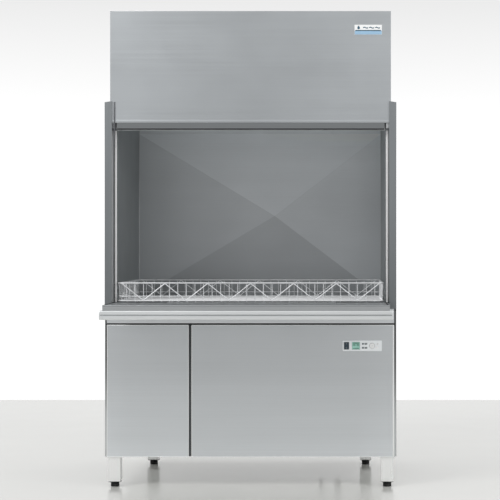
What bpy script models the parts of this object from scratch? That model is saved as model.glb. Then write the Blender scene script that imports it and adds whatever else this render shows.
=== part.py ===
"""Free-standing commercial utensil washer with a split door.

The upper door half is raised above the body and the lower half is folded down as a shelf.
Metres, +Z up, the front faces -Y, and the origin is on the floor under the middle of the machine.
"""

import math

import bmesh
import bpy
from mathutils import Vector

GAP = 0.0003

# Overall sizes
HALF_WIDTH = 0.7075
BODY_DEPTH = 0.865
SHELF_REACH = 0.300
FRONT = (SHELF_REACH - BODY_DEPTH) / 2
REAR = FRONT + BODY_DEPTH
SHEET = 0.002
INSIDE_HALF = HALF_WIDTH - SHEET

# Heights
FOOT_HEIGHT = 0.022
LEG_TOP = 0.148
PANEL_TOP = 0.788
RAIL_BOTTOM = 0.797
RAIL_TOP = 0.866
SHELF_TOP = 0.897
OPENING_TOP = 1.735
SIDE_TOP = 1.840
BODY_TOP = 1.868
TRAY_HEIGHT = 0.030

# Chamber and door channel
CHAMBER_HALF = 0.655
CHANNEL_BACK = FRONT + 0.040
CHAMBER_REAR = FRONT + 0.752
ROOF_Z = 1.832
WALL_BOTTOM = 0.870
TANK_RIM = 0.886
COVER_FRONT = FRONT + 0.1003

# Shallow pyramid pressed into the rear wall, between two flat margins
FOLD_APEX = (0.080, 1.336)
FOLD_BASE_Z = (0.900, 1.780)
FOLD_PRESS = 0.020

# Door posts
POST_FLANGE_X = 0.6725
POST_TOP = 1.877
POST_SLOPE = 0.15
POST_DEPTH = 0.100
POST_LIP = 0.012
POST_CUT_Z = 1.794

# Legs and feet
LEG_SIDE = 0.060
LEG_WALL = 0.002
FOOT_CAP = 0.004
FRONT_LEG_X = 0.664
REAR_LEG_X = 0.570
FRONT_LEG_Y = FRONT + 0.045
REAR_LEG_Y = REAR - 0.142

# Connections under the base tray, near the back
CONNECTION_Y = REAR - 0.090
GLAND_X = 0.420
INLET_X = 0.330

# Upper door
UPPER_HALF = 0.6815
UPPER_FACE = FRONT + 0.005
UPPER_BACK = FRONT + 0.027
UPPER_BOTTOM = 1.739
UPPER_FOLD = 1.770
UPPER_TOP = 2.311
GRIP_HALF = 0.651
DOOR_TRAVEL = 0.576

# Lower door
LOWER_HALF = 0.666
SHELF_THICK = 0.025
PLATE_REACH = 0.296
HINGE_Y = FRONT - 0.017
HINGE_Z = 0.884
HINGE_TAIL = 0.010
PIN_RADIUS = 0.005
PIN_BORE_RADIUS = 0.00508
HANDLE_HALF = 0.682
HANDLE_HEIGHT = 0.044
BRACKET_X = (LOWER_HALF + 0.002, LOWER_HALF + 0.014)
PIN_X = (LOWER_HALF - 0.016, LOWER_HALF + 0.008)
BORE_X = (LOWER_HALF - 0.020, LOWER_HALF + 0.015)

# Door lift
CABLE_X = 0.668
CABLE_RADIUS = 0.0015
CABLE_Y = FRONT + 0.0335
WRAP_RADIUS = 0.0285
PULLEY_Y = CABLE_Y + WRAP_RADIUS
PULLEY_Z = 1.830
LUG_TOP = 1.765
AXLE_RADIUS = 0.006
PULLEY_BORE_RADIUS = 0.00608
WEIGHT_X = (0.663, 0.699)
WEIGHT_Y = (FRONT + 0.060, FRONT + 0.140)
WEIGHT_LENGTH = 0.440

# Rack
RACK_HALF = 0.648
RACK_FRONT = FRONT + 0.002
RACK_DEPTH = 0.672
RACK_TOP = 0.995
WIRE = 0.006

# Wash arms
ARM_X = 0.325
ARM_Y = FRONT + 0.400
ARM_RADIUS = 0.290
ARM_THICK = 0.016
SPINDLE_RADIUS = 0.014
ARM_BORE_RADIUS = 0.0141
LOWER_ARM_Z = 0.862
UPPER_ARM_Z = 1.778
LOWER_DUCT_Z = (0.795, 0.825)
UPPER_DUCT_Z = (1.804, 1.828)

# Pumps, boiler and control box stand on the base tray
BASE_FLOOR = LEG_TOP + 0.0035
PUMP_X = 0.420
BOILER = (-0.520, REAR - 0.160)

# Lower front panels
PANEL_FACE = FRONT + 0.004
PANEL_BACK = FRONT + 0.022
PANEL_WALL = 0.0012
LEFT_PANEL_X = (-0.696, -0.301)
RIGHT_PANEL_X = (-0.286, 0.696)

# Control bezel and what sits in it
BEZEL_X = 0.5417
BEZEL_Z = 0.6872
BEZEL_HALF = (0.094, 0.024)
BEZEL_FRONT = FRONT + 0.001
ROCKER_X = BEZEL_X - 0.076
ROCKER_HALF = (0.0113, 0.0168)
ROCKER_CLEAR = 0.0008
DISPLAY_X = BEZEL_X - 0.030
DISPLAY_HALF = (0.0183, 0.0172)
START_X = BEZEL_X + 0.0485
START_RADIUS = 0.0120
CUTOUT_X = (BEZEL_X - 0.089, BEZEL_X + 0.064)
CUTOUT_HALF = 0.0195

# Badge on the raised door
BADGE_X = (0.5045, 0.6375)
BADGE_Z = (2.197, 2.245)

STEEL = ((0.62, 0.64, 0.66), 0.32, 1.0)
BRIGHT_STEEL = ((0.78, 0.79, 0.80), 0.25, 1.0)
DARK_STEEL = ((0.42, 0.44, 0.46), 0.35, 1.0)
CAST_GREY = ((0.22, 0.24, 0.26), 0.60, 0.6)
BLACK_RUBBER = ((0.02, 0.02, 0.022), 0.80, 0.0)
WHITE_PLASTIC = ((0.80, 0.81, 0.80), 0.40, 0.0)
BLACK_PLASTIC = ((0.03, 0.03, 0.03), 0.45, 0.0)
GREEN_GLASS = ((0.25, 0.55, 0.32), 0.15, 0.0)


def clear_scene():
    for item in list(bpy.data.objects):
        bpy.data.objects.remove(item, do_unlink=True)


def make_material(name, finish):
    colour, roughness, metallic = finish
    material = bpy.data.materials.new(name)
    material.use_nodes = True
    shader = material.node_tree.nodes["Principled BSDF"]
    shader.inputs["Base Color"].default_value = (*colour, 1.0)
    shader.inputs["Roughness"].default_value = roughness
    shader.inputs["Metallic"].default_value = metallic
    return material


def new_object(name, shape, finish, smooth=False):
    """Turn a bmesh into a scene object with its own material."""
    bmesh.ops.recalc_face_normals(shape, faces=shape.faces)
    mesh = bpy.data.meshes.new(name)
    shape.to_mesh(mesh)
    shape.free()
    if smooth:
        mesh.shade_smooth()
        mesh.set_sharp_from_angle(angle=math.radians(35))
    item = bpy.data.objects.new(name, mesh)
    bpy.context.scene.collection.objects.link(item)
    mesh.materials.append(make_material(name, finish))
    return item


def set_origin(item, pivot):
    """Move the object's origin to the pivot without moving its surface."""
    for vertex in item.data.vertices:
        vertex.co -= Vector(pivot)
    item.location = pivot


def add_box(shape, low, high):
    corners = []
    for z in (low[2], high[2]):
        for x, y in ((low[0], low[1]), (high[0], low[1]), (high[0], high[1]), (low[0], high[1])):
            corners.append(shape.verts.new((x, y, z)))
    faces = (
        (0, 3, 2, 1),
        (4, 5, 6, 7),
        (0, 1, 5, 4),
        (1, 2, 6, 5),
        (2, 3, 7, 6),
        (3, 0, 4, 7),
    )
    for face in faces:
        shape.faces.new([corners[i] for i in face])


def box_shape(low, high):
    shape = bmesh.new()
    add_box(shape, low, high)
    return shape


def place(axis, first, second, along):
    """Point with two in-plane coordinates, taken in x, y, z order, and one along the axis."""
    if axis == "x":
        return (along, first, second)
    if axis == "y":
        return (first, along, second)
    return (first, second, along)


def extrude_outline(shape, axis, outline, start, end, holes=()):
    """Solid plate or bar with the given outline and holes, extruded along one axis."""
    edges = []
    for loop in (outline, *holes):
        points = [shape.verts.new(place(axis, a, b, start)) for a, b in loop]
        for i, point in enumerate(points):
            edges.append(shape.edges.new((point, points[(i + 1) % len(points)])))
    filled = bmesh.ops.triangle_fill(shape, use_beauty=True, use_dissolve=False, edges=edges)
    faces = [part for part in filled["geom"] if isinstance(part, bmesh.types.BMFace)]
    grown = bmesh.ops.extrude_face_region(shape, geom=faces, use_keep_orig=True)
    moved = [part for part in grown["geom"] if isinstance(part, bmesh.types.BMVert)]
    bmesh.ops.translate(shape, verts=moved, vec=place(axis, 0.0, 0.0, end - start))


def outline_shape(axis, outline, start, end, holes=()):
    shape = bmesh.new()
    extrude_outline(shape, axis, outline, start, end, holes)
    return shape


def rectangle(low_a, low_b, high_a, high_b):
    return [(low_a, low_b), (high_a, low_b), (high_a, high_b), (low_a, high_b)]


def circle(centre_a, centre_b, radius, segments):
    points = []
    for i in range(segments):
        angle = 2 * math.pi * i / segments
        points.append((centre_a + radius * math.cos(angle), centre_b + radius * math.sin(angle)))
    return points


def add_turned(shape, axis, centre, profile, segments):
    """Turned solid. The profile lists (radius, position along the axis); ends may be on the axis."""
    rings = []
    for radius, along in profile:
        if radius == 0:
            rings.append([shape.verts.new(place(axis, centre[0], centre[1], along))])
            continue
        ring = [
            shape.verts.new(place(axis, a, b, along))
            for a, b in circle(centre[0], centre[1], radius, segments)
        ]
        rings.append(ring)
    for below, above in zip(rings, rings[1:]):
        for i in range(segments):
            j = (i + 1) % segments
            corners = [below[i % len(below)], below[j % len(below)]]
            corners += [above[j % len(above)], above[i % len(above)]]
            shape.faces.new(list(dict.fromkeys(corners)))


def solid_turned(axis, centre, profile, segments):
    shape = bmesh.new()
    closed = [(0, profile[0][1]), *profile, (0, profile[-1][1])]
    add_turned(shape, axis, centre, closed, segments)
    return shape


def ring_turned(axis, centre, profile, segments):
    """Turned ring with a hole: the profile is a closed loop that never meets the axis."""
    shape = bmesh.new()
    add_turned(shape, axis, centre, [*profile, profile[0]], segments)
    bmesh.ops.remove_doubles(shape, verts=shape.verts, dist=1e-6)
    return shape


def tray_shape(low, high, wall, axis, mouth_high):
    """Sheet-metal tray. It is open on the high or the low side of one axis."""
    index = "xyz".index(axis)
    first, second = [i for i in range(3) if i != index]
    mouth, floor = (high[index], low[index]) if mouth_high else (low[index], high[index])
    inner_floor = floor + wall if mouth_high else floor - wall
    shape = bmesh.new()
    rings = []
    for inset, depth in ((0.0, floor), (0.0, mouth), (wall, mouth), (wall, inner_floor)):
        corners = rectangle(
            low[first] + inset,
            low[second] + inset,
            high[first] - inset,
            high[second] - inset,
        )
        rings.append([shape.verts.new(place(axis, a, b, depth)) for a, b in corners])
    for outer, inner in zip(rings, rings[1:]):
        for i in range(4):
            j = (i + 1) % 4
            shape.faces.new((outer[i], outer[j], inner[j], inner[i]))
    shape.faces.new(rings[0])
    shape.faces.new(rings[-1])
    return shape


def lofted_tray_shape(levels, wall):
    """Open-topped vessel. Each level is (half width, front y, back y, z), from the rim down."""
    shape = bmesh.new()
    rings = []
    for half, front, back, z in reversed(levels):
        corners = rectangle(-half, front, half, back)
        rings.append([shape.verts.new((x, y, z)) for x, y in corners])
    for i, (half, front, back, z) in enumerate(levels):
        corners = rectangle(-half + wall, front + wall, half - wall, back - wall)
        lift = 0.0 if i == 0 else wall
        rings.append([shape.verts.new((x, y, z + lift)) for x, y in corners])
    for outer, inner in zip(rings, rings[1:]):
        for i in range(4):
            j = (i + 1) % 4
            shape.faces.new((outer[i], outer[j], inner[j], inner[i]))
    shape.faces.new(rings[0])
    shape.faces.new(rings[-1])
    return shape


def apply_tool(target, shape, operation, name):
    """Cut with, or weld on, a helper shape that stays in the file as a hidden guide."""
    bmesh.ops.recalc_face_normals(shape, faces=shape.faces)
    mesh = bpy.data.meshes.new(name)
    shape.to_mesh(mesh)
    shape.free()
    tool = bpy.data.objects.new(name, mesh)
    bpy.context.scene.collection.objects.link(tool)
    tool.hide_render = True
    tool.display_type = "WIRE"
    modifier = target.modifiers.new(name, "BOOLEAN")
    modifier.operation = operation
    modifier.solver = "EXACT"
    modifier.object = tool
    return tool


def mirrored(sign, low, high):
    """Swap a right-hand x range to the left-hand side when the sign is negative."""
    return (low, high) if sign > 0 else (-high, -low)


def flip(sign, outline):
    """Mirror an outline whose first coordinate is x."""
    return [(sign * x, other) for x, other in outline]


SIDES = (("left", -1), ("right", 1))


def build_base():
    new_object(
        "base_tray",
        tray_shape(
            (0.001 - INSIDE_HALF, FRONT + 0.024, LEG_TOP),
            (INSIDE_HALF - 0.001, REAR - 0.003, LEG_TOP + TRAY_HEIGHT),
            0.003,
            "z",
            True,
        ),
        DARK_STEEL,
    )
    for place_name, x, y in (
        ("front", FRONT_LEG_X, FRONT_LEG_Y),
        ("rear", REAR_LEG_X, REAR_LEG_Y),
    ):
        for side, sign in SIDES:
            build_leg(f"{place_name}_{side}", sign * x, y)
    new_object(
        "cable_gland",
        solid_turned(
            "z",
            (GLAND_X, CONNECTION_Y),
            [(0.011, 0.108), (0.014, 0.112), (0.014, 0.128), (0.019, 0.129), (0.019, LEG_TOP - GAP)],
            12,
        ),
        BLACK_PLASTIC,
        smooth=True,
    )
    new_object(
        "water_inlet",
        solid_turned(
            "z",
            (INLET_X, CONNECTION_Y),
            [(0.0105, 0.104), (0.0105, 0.126), (0.017, 0.127), (0.017, LEG_TOP - GAP)],
            12,
        ),
        BRIGHT_STEEL,
        smooth=True,
    )


def build_leg(place_name, x, y):
    half = LEG_SIDE / 2
    outer = rectangle(x - half, y - half, x + half, y + half)
    bore = half - LEG_WALL
    inner = rectangle(x - bore, y - bore, x + bore, y + bore)
    bottom = FOOT_HEIGHT + FOOT_CAP + GAP
    new_object(
        f"leg_{place_name}",
        outline_shape("z", outer, bottom, LEG_TOP - GAP, [inner]),
        BRIGHT_STEEL,
    )
    profile = [
        (0.0185, 0.0),
        (0.0195, 0.002),
        (0.0195, 0.013),
        (0.012, 0.018),
        (0.012, FOOT_HEIGHT),
        (0.031, FOOT_HEIGHT),
        (0.031, FOOT_HEIGHT + FOOT_CAP),
        (0.008, FOOT_HEIGHT + FOOT_CAP),
        (0.008, 0.070),
    ]
    new_object(f"foot_{place_name}", solid_turned("z", (x, y), profile, 20), BLACK_RUBBER, smooth=True)


def build_housing():
    for side, sign in SIDES:
        outline = [
            (FRONT + 0.010, LEG_TOP),
            (REAR, LEG_TOP),
            (REAR, SIDE_TOP),
            (COVER_FRONT, SIDE_TOP),
            (COVER_FRONT, RAIL_TOP),
            (FRONT + 0.010, RAIL_TOP),
        ]
        low, high = mirrored(sign, INSIDE_HALF, HALF_WIDTH)
        new_object(f"side_panel_{side}", outline_shape("x", outline, low, high), STEEL)
        build_post(side, sign)
    new_object(
        "rear_panel",
        box_shape(
            (GAP - INSIDE_HALF, REAR - SHEET, LEG_TOP + GAP),
            (INSIDE_HALF - GAP, REAR, SIDE_TOP),
        ),
        STEEL,
    )
    new_object(
        "top_cover",
        tray_shape(
            (-HALF_WIDTH, COVER_FRONT, SIDE_TOP + GAP),
            (HALF_WIDTH, REAR, BODY_TOP),
            0.0015,
            "z",
            False,
        ),
        STEEL,
    )
    rail = [
        (FRONT, RAIL_BOTTOM),
        (FRONT, RAIL_TOP),
        (FRONT + 0.038, RAIL_TOP),
        (FRONT + 0.038, RAIL_TOP - SHEET),
        (FRONT + SHEET, RAIL_TOP - SHEET),
        (FRONT + SHEET, RAIL_BOTTOM + SHEET),
        (FRONT + 0.020, RAIL_BOTTOM + SHEET),
        (FRONT + 0.020, RAIL_BOTTOM),
    ]
    half = RIGHT_PANEL_X[1] + 0.001
    new_object("front_rail", outline_shape("x", rail, -half, half), STEEL)


def build_post(side, sign):
    """Guide post: front flange, outer web, and an inner flange that frames the opening."""
    front, back = FRONT, CHANNEL_BACK
    profile = [
        (POST_FLANGE_X, front),
        (HALF_WIDTH, front),
        (HALF_WIDTH, front + POST_DEPTH),
        (INSIDE_HALF, front + POST_DEPTH),
        (INSIDE_HALF, back + SHEET),
        (CHAMBER_HALF + SHEET, back + SHEET),
        (CHAMBER_HALF + SHEET, back + POST_LIP),
        (CHAMBER_HALF, back + POST_LIP),
        (CHAMBER_HALF, back),
        (INSIDE_HALF, back),
        (INSIDE_HALF, front + SHEET),
        (POST_FLANGE_X, front + SHEET),
    ]
    shape = outline_shape("z", flip(sign, profile), RAIL_TOP + GAP, POST_TOP)
    for vertex in shape.verts:
        if vertex.co.z > OPENING_TOP:
            vertex.co.z -= POST_SLOPE * max(0.0, abs(vertex.co.x) - CHAMBER_HALF)
    post = new_object(f"door_post_{side}", shape, DARK_STEEL)
    low, high = mirrored(sign, CHAMBER_HALF - 0.015, INSIDE_HALF - GAP)
    cutter = box_shape(
        (low, front + 0.028, POST_CUT_Z),
        (high, front + POST_DEPTH + 0.020, POST_TOP + 0.030),
    )
    apply_tool(post, cutter, "DIFFERENCE", f"pulley_clearance_{side}")
    head, shoulder, root = CABLE_X - 0.0095, CABLE_X - 0.0050, HALF_WIDTH - 0.001
    axle = [
        (0.0095, sign * head),
        (0.0095, sign * shoulder),
        (AXLE_RADIUS, sign * shoulder),
        (AXLE_RADIUS, sign * root),
    ]
    apply_tool(post, solid_turned("x", (PULLEY_Y, PULLEY_Z), axle, 24), "UNION", f"axle_guide_{side}")
    low, high = mirrored(sign, *BRACKET_X)
    bracket = box_shape(
        (low, HINGE_Y - 0.012, HINGE_Z - 0.010),
        (high, front + 0.001, HINGE_Z + 0.010),
    )
    apply_tool(post, bracket, "UNION", f"hinge_bracket_guide_{side}")
    low, high = mirrored(sign, *PIN_X)
    pin = solid_turned("x", (HINGE_Y, HINGE_Z), [(PIN_RADIUS, low), (PIN_RADIUS, high)], 24)
    apply_tool(post, pin, "UNION", f"hinge_pin_guide_{side}")


def build_chamber():
    wall_front = CHANNEL_BACK + 0.0125
    for side, sign in SIDES:
        low, high = mirrored(sign, CHAMBER_HALF, CHAMBER_HALF + SHEET)
        new_object(
            f"chamber_side_{side}",
            box_shape((low, wall_front, WALL_BOTTOM), (high, CHAMBER_REAR, ROOF_Z - GAP)),
            STEEL,
        )
    new_object("chamber_rear_wall", creased_wall_shape(), STEEL)
    roof = [
        (CHANNEL_BACK, OPENING_TOP),
        (CHANNEL_BACK + SHEET, OPENING_TOP),
        (CHANNEL_BACK + SHEET, ROOF_Z),
        (CHAMBER_REAR + 0.010, ROOF_Z),
        (CHAMBER_REAR + 0.010, ROOF_Z + SHEET),
        (CHANNEL_BACK, ROOF_Z + SHEET),
    ]
    half = CHAMBER_HALF - GAP
    new_object("chamber_roof", outline_shape("x", roof, -half, half), STEEL)


def creased_wall_shape():
    """Rear wall: a shallow four-sided pyramid, pressed forward, between two flat margins."""
    half = CHAMBER_HALF - GAP
    levels = (WALL_BOTTOM, *FOLD_BASE_Z, ROOF_Z - GAP)
    shape = bmesh.new()
    sheets = []
    for y in (CHAMBER_REAR - SHEET, CHAMBER_REAR):
        left = [shape.verts.new((-half, y, z)) for z in levels]
        right = [shape.verts.new((half, y, z)) for z in levels]
        apex = shape.verts.new((FOLD_APEX[0], y - FOLD_PRESS, FOLD_APEX[1]))
        for margin in (0, 2):
            shape.faces.new((left[margin], right[margin], right[margin + 1], left[margin + 1]))
        base = (left[1], right[1], right[2], left[2])
        for i in range(4):
            shape.faces.new((base[i], base[(i + 1) % 4], apex))
        sheets.append(left + right[::-1])
    count = len(sheets[0])
    for i in range(count):
        j = (i + 1) % count
        shape.faces.new((sheets[0][i], sheets[0][j], sheets[1][j], sheets[1][i]))
    return shape


def build_tank():
    inner_half = CHAMBER_HALF - 0.0005
    front, back = CHANNEL_BACK + 0.004, CHAMBER_REAR - 0.013
    new_object(
        "wash_tank",
        lofted_tray_shape(
            [
                (inner_half, front, back, TANK_RIM),
                (inner_half, front, back, 0.760),
                (0.220, FRONT + 0.250, FRONT + 0.550, 0.700),
                (0.200, FRONT + 0.270, FRONT + 0.530, 0.600),
            ],
            SHEET,
        ),
        STEEL,
    )
    holes = [circle(x, ARM_Y, 0.020, 16) for x in (-ARM_X, ARM_X)]
    slot_rows = [FRONT + 0.140 + 0.090 * i for i in range(7)]
    for y in slot_rows:
        if abs(y - ARM_Y) < 0.040:
            continue
        for i in range(6):
            x = -0.500 + 0.200 * i
            holes.append(rectangle(x - 0.060, y - 0.006, x + 0.060, y + 0.006))
    half = inner_half - SHEET - 0.002
    new_object(
        "tank_strainer",
        outline_shape("z", rectangle(-half, front + 0.004, half, back - 0.004), 0.836, 0.8385, holes),
        STEEL,
    )
    bars = rectangle(-0.412, front + 0.0002, 0.412, back)
    space = rectangle(-0.392, front + 0.020, 0.392, back - 0.020)
    new_object(
        "rack_rails",
        outline_shape("z", bars, TANK_RIM + GAP, SHELF_TOP - GAP, [space]),
        BRIGHT_STEEL,
    )


def build_water_system():
    duct_half = ARM_X + 0.035
    lower = new_object(
        "lower_manifold",
        box_shape(
            (-duct_half, ARM_Y - 0.020, LOWER_DUCT_Z[0]),
            (duct_half, ARM_Y + 0.020, LOWER_DUCT_Z[1]),
        ),
        STEEL,
    )
    apply_tool(
        lower,
        box_shape(
            (-0.025, ARM_Y, LOWER_DUCT_Z[0] + SHEET),
            (0.025, CHAMBER_REAR - 0.040, LOWER_DUCT_Z[1] - SHEET),
        ),
        "UNION",
        "lower_feed_guide",
    )
    upper = new_object(
        "upper_manifold",
        box_shape(
            (-duct_half, ARM_Y - 0.015, UPPER_DUCT_Z[0]),
            (duct_half, ARM_Y + 0.015, UPPER_DUCT_Z[1]),
        ),
        STEEL,
    )
    apply_tool(
        upper,
        box_shape(
            (-0.025, ARM_Y, UPPER_DUCT_Z[0] + 0.001),
            (0.025, CHAMBER_REAR - 0.013, UPPER_DUCT_Z[1] - 0.001),
        ),
        "UNION",
        "upper_feed_guide",
    )
    for side, sign in SIDES:
        x = sign * ARM_X
        lower_root = LOWER_DUCT_Z[1] - 0.015
        upper_root = UPPER_DUCT_Z[0] + 0.011
        profile = [(SPINDLE_RADIUS, lower_root), (SPINDLE_RADIUS, LOWER_ARM_Z + ARM_THICK + 0.002)]
        spindle = solid_turned("z", (x, ARM_Y), profile, 32)
        apply_tool(lower, spindle, "UNION", f"lower_spindle_guide_{side}")
        profile = [(SPINDLE_RADIUS, UPPER_ARM_Z + 0.001), (SPINDLE_RADIUS, upper_root)]
        spindle = solid_turned("z", (x, ARM_Y), profile, 32)
        apply_tool(upper, spindle, "UNION", f"upper_spindle_guide_{side}")
        build_arm(f"lower_arm_{side}", x, LOWER_ARM_Z)
        build_arm(f"upper_arm_{side}", x, UPPER_ARM_Z)
        build_pump(f"wash_pump_{side}", sign * PUMP_X)
    new_object(
        "rinse_boiler",
        solid_turned(
            "z",
            BOILER,
            [
                (0.085, BASE_FLOOR),
                (0.105, 0.165),
                (0.110, 0.185),
                (0.110, 0.540),
                (0.085, 0.575),
                (0.030, 0.585),
            ],
            24,
        ),
        BRIGHT_STEEL,
        smooth=True,
    )
    new_object(
        "control_box",
        box_shape((0.340, FRONT + 0.060, 0.400), (0.640, FRONT + 0.160, 0.690)),
        CAST_GREY,
    )


def build_arm(name, x, z):
    """Flat pressed arm with tapered ends and a round hub that runs on its spindle."""
    tip, shoulder = ARM_RADIUS, ARM_RADIUS - 0.008
    half_tip, half_shoulder, half_root = 0.012, 0.013, 0.019
    hub = circle(0.0, 0.0, 0.034, 24)
    back_arc = [point for point in hub if point[1] >= half_root]
    front_arc = [point for point in hub if point[1] <= -half_root]
    right_end = [(shoulder, -half_shoulder), (tip, -half_tip), (tip, half_tip), (shoulder, half_shoulder)]
    left_end = [(-a, -b) for a, b in right_end]
    outline = [*right_end, *back_arc, *left_end, *front_arc]
    bore = circle(0.0, 0.0, ARM_BORE_RADIUS, 32)
    arm = new_object(name, outline_shape("z", outline, 0.0, ARM_THICK, [bore]), BRIGHT_STEEL)
    arm.location = (x, ARM_Y, z)


def build_pump(name, x):
    """Upright pump: volute at the bottom, finned motor above."""
    profile = [
        (0.060, BASE_FLOOR),
        (0.085, 0.170),
        (0.085, 0.225),
        (0.060, 0.240),
        (0.070, 0.250),
        (0.070, 0.450),
        (0.045, 0.470),
    ]
    new_object(name, solid_turned("z", (x, ARM_Y), profile, 20), CAST_GREY, smooth=True)


def build_lower_panels():
    panels = []
    for name, (low, high) in (("front_panel_left", LEFT_PANEL_X), ("front_panel_right", RIGHT_PANEL_X)):
        shape = tray_shape(
            (low, PANEL_FACE, LEG_TOP), (high, PANEL_BACK, PANEL_TOP), PANEL_WALL, "y", True
        )
        panels.append(new_object(name, shape, STEEL))
    cutout = box_shape(
        (CUTOUT_X[0], PANEL_FACE - 0.010, BEZEL_Z - CUTOUT_HALF),
        (CUTOUT_X[1], PANEL_FACE + 0.010, BEZEL_Z + CUTOUT_HALF),
    )
    apply_tool(panels[1], cutout, "DIFFERENCE", "control_cutout_guide")


def centred_rectangle(centre_a, centre_b, half):
    return rectangle(centre_a - half[0], centre_b - half[1], centre_a + half[0], centre_b + half[1])


def build_controls():
    rocker_hole = (ROCKER_HALF[0] + ROCKER_CLEAR, ROCKER_HALF[1] + ROCKER_CLEAR)
    display_hole = (DISPLAY_HALF[0] + GAP, DISPLAY_HALF[1] + GAP)
    holes = [
        centred_rectangle(ROCKER_X, BEZEL_Z, rocker_hole),
        centred_rectangle(DISPLAY_X, BEZEL_Z, display_hole),
        circle(START_X, BEZEL_Z, START_RADIUS + ROCKER_CLEAR, 24),
    ]
    outline = centred_rectangle(BEZEL_X, BEZEL_Z, BEZEL_HALF)
    new_object(
        "control_bezel",
        outline_shape("y", outline, BEZEL_FRONT, PANEL_FACE - GAP, holes),
        WHITE_PLASTIC,
    )
    new_object(
        "display_window",
        box_shape(
            (DISPLAY_X - DISPLAY_HALF[0], BEZEL_FRONT + 0.0008, BEZEL_Z - DISPLAY_HALF[1]),
            (DISPLAY_X + DISPLAY_HALF[0], PANEL_FACE + 0.003, BEZEL_Z + DISPLAY_HALF[1]),
        ),
        GREEN_GLASS,
    )
    pivot_y = BEZEL_FRONT + 0.003
    profile = [
        (pivot_y - 0.0050, BEZEL_Z - ROCKER_HALF[1]),
        (pivot_y - 0.0035, BEZEL_Z),
        (pivot_y - 0.0050, BEZEL_Z + ROCKER_HALF[1]),
        (pivot_y + 0.0030, BEZEL_Z + ROCKER_HALF[1]),
        (pivot_y + 0.0080, BEZEL_Z + 0.003),
        (pivot_y + 0.0080, BEZEL_Z - 0.003),
        (pivot_y + 0.0030, BEZEL_Z - ROCKER_HALF[1]),
    ]
    rocker = new_object(
        "power_rocker",
        outline_shape("x", profile, ROCKER_X - ROCKER_HALF[0], ROCKER_X + ROCKER_HALF[0]),
        BLACK_PLASTIC,
    )
    set_origin(rocker, (ROCKER_X, pivot_y, BEZEL_Z))
    button = new_object(
        "start_button",
        solid_turned(
            "y",
            (START_X, BEZEL_Z),
            [
                (START_RADIUS - 0.0008, FRONT - 0.0012),
                (START_RADIUS, FRONT - 0.0006),
                (START_RADIUS, FRONT + 0.014),
            ],
            24,
        ),
        WHITE_PLASTIC,
        smooth=True,
    )
    set_origin(button, (START_X, FRONT, BEZEL_Z))


def build_upper_door():
    new_object(
        "upper_door_skin",
        tray_shape(
            (-UPPER_HALF, UPPER_FACE, UPPER_FOLD),
            (UPPER_HALF, UPPER_BACK - 0.0015 - GAP, UPPER_TOP),
            0.0015,
            "y",
            True,
        ),
        STEEL,
    )
    sheet = [
        (-GRIP_HALF, UPPER_BOTTOM),
        (GRIP_HALF, UPPER_BOTTOM),
        (GRIP_HALF, UPPER_BOTTOM + 0.006),
        (UPPER_HALF, UPPER_BOTTOM + 0.006),
        (UPPER_HALF, UPPER_TOP),
        (-UPPER_HALF, UPPER_TOP),
        (-UPPER_HALF, UPPER_BOTTOM + 0.006),
        (-GRIP_HALF, UPPER_BOTTOM + 0.006),
    ]
    liner = new_object(
        "upper_door_liner",
        outline_shape("y", sheet, UPPER_BACK - 0.0015, UPPER_BACK),
        STEEL,
    )
    grip = [
        (FRONT + 0.007, UPPER_BOTTOM),
        (UPPER_BACK - 0.0005, UPPER_BOTTOM),
        (UPPER_BACK - 0.0005, UPPER_BOTTOM + 0.008),
        (FRONT + 0.009, UPPER_BOTTOM + 0.008),
        (FRONT + 0.009, UPPER_BOTTOM + 0.012),
        (FRONT + 0.007, UPPER_BOTTOM + 0.012),
    ]
    half = GRIP_HALF
    apply_tool(liner, outline_shape("x", grip, -half, half), "UNION", "grip_guide")
    for side, sign in SIDES:
        low, high = mirrored(sign, CABLE_X - 0.006, CABLE_X + 0.008)
        lug = box_shape(
            (low, UPPER_BACK - 0.001, LUG_TOP - 0.018),
            (high, CABLE_Y + 0.003, LUG_TOP),
        )
        apply_tool(liner, lug, "UNION", f"lug_guide_{side}")
    new_object(
        "badge_plate",
        box_shape(
            (BADGE_X[0], UPPER_FACE - 0.0013, BADGE_Z[0]),
            (BADGE_X[1], UPPER_FACE - GAP, BADGE_Z[1]),
        ),
        WHITE_PLASTIC,
    )


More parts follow.
